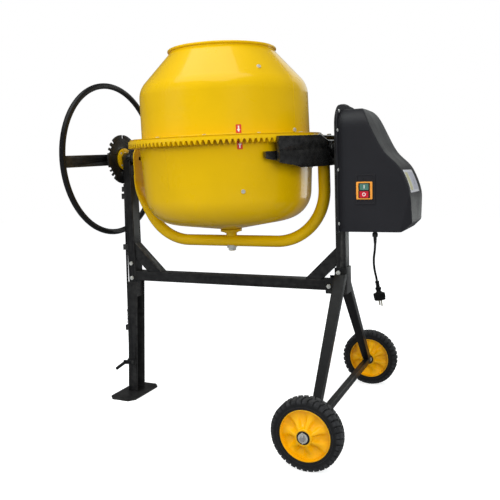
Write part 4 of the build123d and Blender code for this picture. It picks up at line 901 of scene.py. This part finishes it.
def switch_pad():
    """Raised pad round the switch, open in the middle, with a groove and a plugged screw hole."""
    wide, high = SWITCH_PAD
    shift = Vector(SWITCH_PAD_SHIFT)
    steps = [
        (wide, high, -0.0010, shift),
        (wide, high, 0.0030, shift),
        (wide - 0.008, high - 0.008, 0.0030, shift),
        (wide - 0.0095, high - 0.0095, 0.0012, shift),
        (*SWITCH_OPENING, 0.0012, Vector((0, 0))),
        (*SWITCH_OPENING, -0.0010, Vector((0, 0))),
    ]
    bm = bmesh.new()
    rings = []
    for w, h, z, at in steps:
        rings.append(ring_of(bm, [(x + at.x, y + at.y, z) for x, y in pad_outline(w, h, 0.003)]))
    for one, two in zip(rings, rings[1:] + rings[:1]):
        bridge(bm, one, two)
    place = facing(SWITCH.x, SWITCH.y, SWITCH.z)
    finished("switch_pad", bm, "housing_plastic", "frame", place=place, bevel=0.0004, sharp=40)
    head = [(0.0, 0.0004), (0.0012, 0.0004), (0.0024, 0.0016), (0.0028, 0.0006)]
    screw = lathe(head + [(0.0028, -0.002), (0.0, -0.002)], 32)
    bmesh.ops.remove_doubles(screw, verts=screw.verts, dist=1e-6)
    hole = facing(SWITCH.x - 0.001, SWITCH.y - 0.0012, SWITCH.z + 0.0370)
    finished("switch_pad_plug", screw, "black_plastic", "frame", place=hole)


def button_caps():
    """Narrow push-button caps with a hollowed face, each on its own body."""
    for node, slot in (("on_button", "on_green"), ("off_button", "off_red")):
        low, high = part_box(node)
        centre = (low + high) / 2
        proud = high.y - low.y
        bm = slab(bmesh.new(), pad_outline(0.0286, 0.0204, 0.0020), 0.0002, proud - 0.0002)
        top = max(bm.faces, key=lambda f: f.calc_center_median().z)
        bmesh.ops.inset_region(bm, faces=[top], thickness=0.0016)
        bmesh.ops.inset_region(bm, faces=[top], thickness=0.0018, depth=-0.0006)
        place = facing(centre.x, high.y, centre.z)
        finished(f"{node}_cap", bm, slot, node, [node], place, bevel=0.0005, sharp=30)


def switch_marks():
    """A bar on the starting button and a ring on the stopping one."""
    for node in ("on_button", "off_button"):
        low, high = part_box(node)
        centre = (low + high) / 2
        place = facing(centre.x, low.y + 0.0007, centre.z)
        if node == "on_button":
            bm = slab(bmesh.new(), pad_outline(0.0026, 0.0110, 0.0008), -0.0003, 0.0003)
        else:
            outline = [(0.0036, -0.0003), (0.0056, -0.0003), (0.0056, 0.0003), (0.0036, 0.0003)]
            bm = lathe(outline, 40)
        finished(f"{node}_mark", bm, WHITE_INK, node, place=place)


def switch_bezel():
    """Inner lip of the switch frame, round each button."""
    bm = bmesh.new()
    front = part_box("switch_body")[0].y
    outer = pad_outline(0.0375, 0.0240, 0.0022)
    inner = pad_outline(0.0292, 0.0210, 0.0021)
    for rise in (BUTTON_RISE, -BUTTON_RISE):
        flat_ring(bm, outer, inner, -0.0010, 0.0008, facing(SWITCH.x, front, SWITCH.z + rise))
    return finished("switch_bezel", bm, "black_plastic", "frame", bevel=0.0003, sharp=40)


def blank_label():
    """Plain label on the housing's sloping back: pale, with empty tinted fields."""
    curve = back_curve()
    fields = [  # name, slot or material, sides, lower and upper edge, how far it stands out
        ("blank_sticker", "label_white", -0.090, 0.060, 0.808, 0.880, 0.0004),
        ("blank_field_left", TINT_YELLOW, -0.084, -0.040, 0.816, 0.872, 0.0007),
        ("blank_field_right", TINT_GREY, -0.032, 0.052, 0.816, 0.872, 0.0007),
    ]
    for name, slot, y0, y1, z0, z1, lift in fields:
        sections = []
        for step in range(17):
            z = z0 + (z1 - z0) * step / 16
            x, nx, nz = curve_at(curve, z)
            ring = []
            for y, out in ((y0, -0.0012), (y1, -0.0012), (y1, lift), (y0, lift)):
                ring.append((x + nx * out, y, z + nz * out))
            sections.append(ring)
        replaced = ["blank_label"] if name == "blank_sticker" else []
        finished(name, swept(sections), slot, "frame", replaced)


def curve_at(curve, z):
    """X of the sloping back at a height, and its outward normal."""
    for a, b in zip(curve, curve[1:]):
        if b.y <= z <= a.y:
            t = (a.y - z) / (a.y - b.y)
            along = (b - a).normalized()
            return a.x + (b.x - a.x) * t, -along.y, along.x
    return curve[-1].x, 1.0, 0.0


def housing():
    housing_cover()
    housing_lip()
    switch_pad()
    switch_bezel()
    button_caps()
    switch_marks()
    blank_label()


# ---------------------------------------------------------------- mains cord
def mains_cord(plug_pieces):
    """The cord's smooth line, from the relief to the plug."""
    points = [(x - ORIGIN_X, y, z) for x, y, z in CORD_ROUTE]
    curve = bpy.data.curves.new("mains_cord", "CURVE")
    curve.dimensions = "3D"
    spline = curve.splines.new("NURBS")
    spline.points.add(len(points) - 1)
    for target, point in zip(spline.points, points):
        target.co = (*point, 1.0)
    spline.order_u = 3
    spline.use_endpoint_u = True
    curve.resolution_u = 24
    curve.bevel_depth = CORD_R
    curve.bevel_resolution = 6
    curve.use_fill_caps = True
    curve.materials.append(MATERIALS["rubber"])
    cord = bpy.data.objects.new("mains_cord", curve)
    bpy.context.scene.collection.objects.link(cord)
    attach(cord, "frame")
    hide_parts("power_cord")


def strain_relief():
    """Ribbed round nut under the housing on a short neck, and the slim taper that the cord leaves through."""
    x, y, _ = CORD_ROUTE[0]
    nut = [  # height, radius
        (0.6850, 0.0062),
        (0.6815, 0.0062),
        (0.6805, 0.0078),
        (0.6780, 0.0088),
        (0.6745, 0.0092),
        (0.6710, 0.0090),
        (0.6680, 0.0082),
        (0.6665, 0.0066),
    ]
    angles = [TAU * i / 108 for i in range(108)]
    sections = []
    for z, r in nut:
        groove = 0.0005 if r > 0.007 else 0.0
        reach = [r - groove * math.cos(9 * a) ** 2 for a in angles]
        sections.append([(d * math.cos(a), d * math.sin(a), z) for d, a in zip(reach, angles)])
    bm = swept(sections)
    taper = [
        (0.0030, 0.6680),
        (0.0056, 0.6680),
        (0.0053, 0.6600),
        (0.0045, 0.6480),
        (0.0041, 0.6450),
        (0.0030, 0.6450),
    ]
    lathe(taper, 48, bm)
    place = Matrix.Translation((x - ORIGIN_X, y, 0))
    replaced = ["cable_gland"]
    return finished("strain_relief", bm, "black_plastic", "frame", replaced, place, bevel=0.0003, sharp=40)


def plug_place():
    """Local z runs on along the cord's end, away from the cord."""
    end = Vector(CORD_ROUTE[-1]) - Vector((ORIGIN_X, 0, 0))
    run = Vector(CORD_ROUTE[-1]) - Vector(CORD_ROUTE[-2])
    turn = UP.rotation_difference(run).to_matrix().to_4x4()
    return Matrix.Translation(end) @ turn @ Matrix.Rotation(math.radians(PLUG_TURN), 4, "Z")


def plug_grip():
    """Collar, ribbed neck, second collar, waist and a wide body with two flats."""
    collar = [(0.0030, -0.0232), (0.0064, -0.0232), (0.0071, -0.0222), (0.0068, -0.0178), (0.0056, -0.0168)]
    neck = []
    for k in range(3):
        z = -0.0155 + 0.0042 * k
        neck += [(0.0054, z), (0.0064, z + 0.0005), (0.0066, z + 0.0026), (0.0056, z + 0.0032)]
    second = [(0.0060, -0.0036), (0.0090, -0.0022), (0.0096, 0.0), (0.0094, 0.0044), (0.0080, 0.0066)]
    waist = [(0.0076, 0.0096), (0.0088, 0.0124), (0.0128, 0.0150)]
    grip = [(0.0184, 0.0166), (0.0195, 0.0182), (0.0195, 0.0300), (0.0184, 0.0318), (0.0181, 0.0384)]
    face = [(0.0172, 0.0393), (0.0, 0.0393), (0.0, 0.0100), (0.0030, 0.0100)]
    bm = lathe(collar + neck + second + waist + grip + face, 96)
    bmesh.ops.remove_doubles(bm, verts=bm.verts, dist=1e-6)
    for v in bm.verts:
        if v.co.z > 0.0155:
            v.co.y = max(-GRIP_HALF, min(GRIP_HALF, v.co.y))
    return finished("plug_grip", bm, "rubber", "frame", ["plug_body"], plug_place(), bevel=0.0005, sharp=38)


def plug_contacts():
    """The plug's two round pins."""
    tip = [(0.0024, 0.0572), (0.0020, 0.0582), (0.0012, 0.0587), (0.0, 0.0587)]
    outline = [(0.0, 0.0385), (0.0024, 0.0385)] + tip
    bm = bmesh.new()
    for side in (-PIN_GAP, PIN_GAP):
        before = set(bm.verts)
        lathe(outline, 32, bm)
        bmesh.ops.translate(bm, verts=[v for v in bm.verts if v not in before], vec=(side, 0, 0))
    bmesh.ops.remove_doubles(bm, verts=bm.verts, dist=1e-6)
    return finished("plug_contacts", bm, "brass", "frame", ["plug_pins"], plug_place())


# ---------------------------------------------------------------- carried-over CAD nodes
EDGE_WIDTHS = {
    "frame_paint": 0.0011,
    "drum_paint": 0.0009,
    "zinc": 0.0005,
    "cast_iron": 0.0013,
    "housing_plastic": 0.0010,
    "black_plastic": 0.0007,
    "switch_plastic": 0.0006,
}


def dress_cad_nodes():
    """Every carried-over node: merged vertices, smooth faces, softened edges and its slot's material."""
    slots = {part["node"]: part["material_slot"] for part in frame["record"]["subparts"]}
    for name, obj in frame["nodes"].items():
        obj.data.materials.clear()
        obj.data.materials.append(MATERIALS[slots[name]])
        obj.data.polygons.foreach_set("use_smooth", [True] * len(obj.data.polygons))
        merge = obj.modifiers.new("merge", "WELD")
        merge.merge_threshold = 0.00001
        soften(obj, EDGE_WIDTHS.get(slots[name], 0.0004), 32.0)


# ---------------------------------------------------------------- floor, light and camera
def floor():
    """Pale floor under the mixer."""
    bm = slab(bmesh.new(), [(-9, -9), (9, -9), (9, 9), (-9, 9)], -0.02, 0.0)
    mesh = bpy.data.meshes.new("floor")
    bm.to_mesh(mesh)
    bm.free()
    obj = bpy.data.objects.new("floor", mesh)
    mesh.materials.append(floor_paint("pale_floor"))
    bpy.context.scene.collection.objects.link(obj)


def softbox(name, place, target, size, power, mirrored=True):
    """A large area light that faces a point; one that isn't mirrored leaves no highlight."""
    light = bpy.data.lights.new(name, "AREA")
    light.shape = "RECTANGLE"
    light.size, light.size_y = size
    light.energy = power
    light.color = (0.96, 1.0, 0.97)
    obj = bpy.data.objects.new(name, light)
    obj.location = place
    obj.rotation_euler = (Vector(target) - Vector(place)).to_track_quat("-Z", "Y").to_euler()
    obj.visible_glossy = mirrored
    bpy.context.scene.collection.objects.link(obj)


def lights():
    """Large soft lights in a pale room; the room itself stays dim in reflections."""
    softbox("overhead", (-0.2, -1.0, 3.6), (0, 0, 0.9), (3.4, 2.6), 50)
    softbox("front_left", (-2.6, -3.0, 2.0), (0, 0, 0.75), (2.2, 2.0), 66, False)
    softbox("front_right", (2.6, -2.8, 1.6), (0, 0, 0.75), (2.0, 2.0), 68, False)
    softbox("rear", (0.6, 3.2, 2.4), (0, 0, 0.75), (2.6, 1.6), 13)
    softbox("rear_right", (1.9, 3.2, 0.40), (0.2, 0, 0.7), (1.3, 0.8), 9)
    world = bpy.data.worlds.new("studio")
    world.use_nodes = True
    tree = world.node_tree
    rays = tree.nodes.new("ShaderNodeLightPath").outputs
    shader = tree.nodes["Background"]
    shader.inputs["Color"].default_value = (0.94, 0.96, 1.0, 1.0)
    shader.inputs["Strength"].default_value = 0.50
    shader = shader.outputs["Background"]
    for ray, strength in (("Is Glossy Ray", 0.10), ("Is Camera Ray", 1.0)):
        other = tree.nodes.new("ShaderNodeBackground")
        other.inputs["Color"].default_value = (1.0, 1.0, 1.0, 1.0)
        other.inputs["Strength"].default_value = strength
        pick = tree.nodes.new("ShaderNodeMixShader")
        tree.links.new(rays[ray], pick.inputs["Fac"])
        tree.links.new(shader, pick.inputs[1])
        tree.links.new(other.outputs["Background"], pick.inputs[2])
        shader = pick.outputs["Shader"]
    tree.links.new(shader, tree.nodes["World Output"].inputs["Surface"])
    bpy.context.scene.world = world
    bpy.context.scene.view_settings.view_transform = "Standard"


def camera():
    """Stands in front and to the right, a little under the drum's seam, and rolls slightly."""
    yaw, pitch, roll = (math.radians(v) for v in (23.16, 5.88, -1.65))
    ahead = Vector((-math.sin(yaw), math.cos(yaw), 0))
    right = Vector((math.cos(yaw), math.sin(yaw), 0))
    up = Vector((0, 0, 1))
    look = ahead * math.cos(pitch) - up * math.sin(pitch)
    rise = up * math.cos(pitch) + ahead * math.sin(pitch)
    side = right * math.cos(roll) + rise * math.sin(roll)
    top = rise * math.cos(roll) - right * math.sin(roll)
    data = bpy.data.cameras.new("camera")
    data.sensor_width = 36
    data.lens = 43.15
    data.shift_x = -0.0425
    data.shift_y = -0.0304
    obj = bpy.data.objects.new("camera", data)
    rotation = Matrix((side, top, -look)).transposed().to_4x4()
    obj.matrix_world = Matrix.Translation((0.93925, -1.99573, 0.88182)) @ rotation
    bpy.context.scene.collection.objects.link(obj)
    bpy.context.scene.camera = obj


# ---------------------------------------------------------------- the whole scene
camera()
mains_cord([plug_grip(), plug_contacts()])
strain_relief()
dress_cad_nodes()
drum()
yoke()
handwheel()
for wheel_side in (-1, 1):
    wheel_centre(wheel_side)
    tyre(wheel_side)
housing()
floor()
lights()
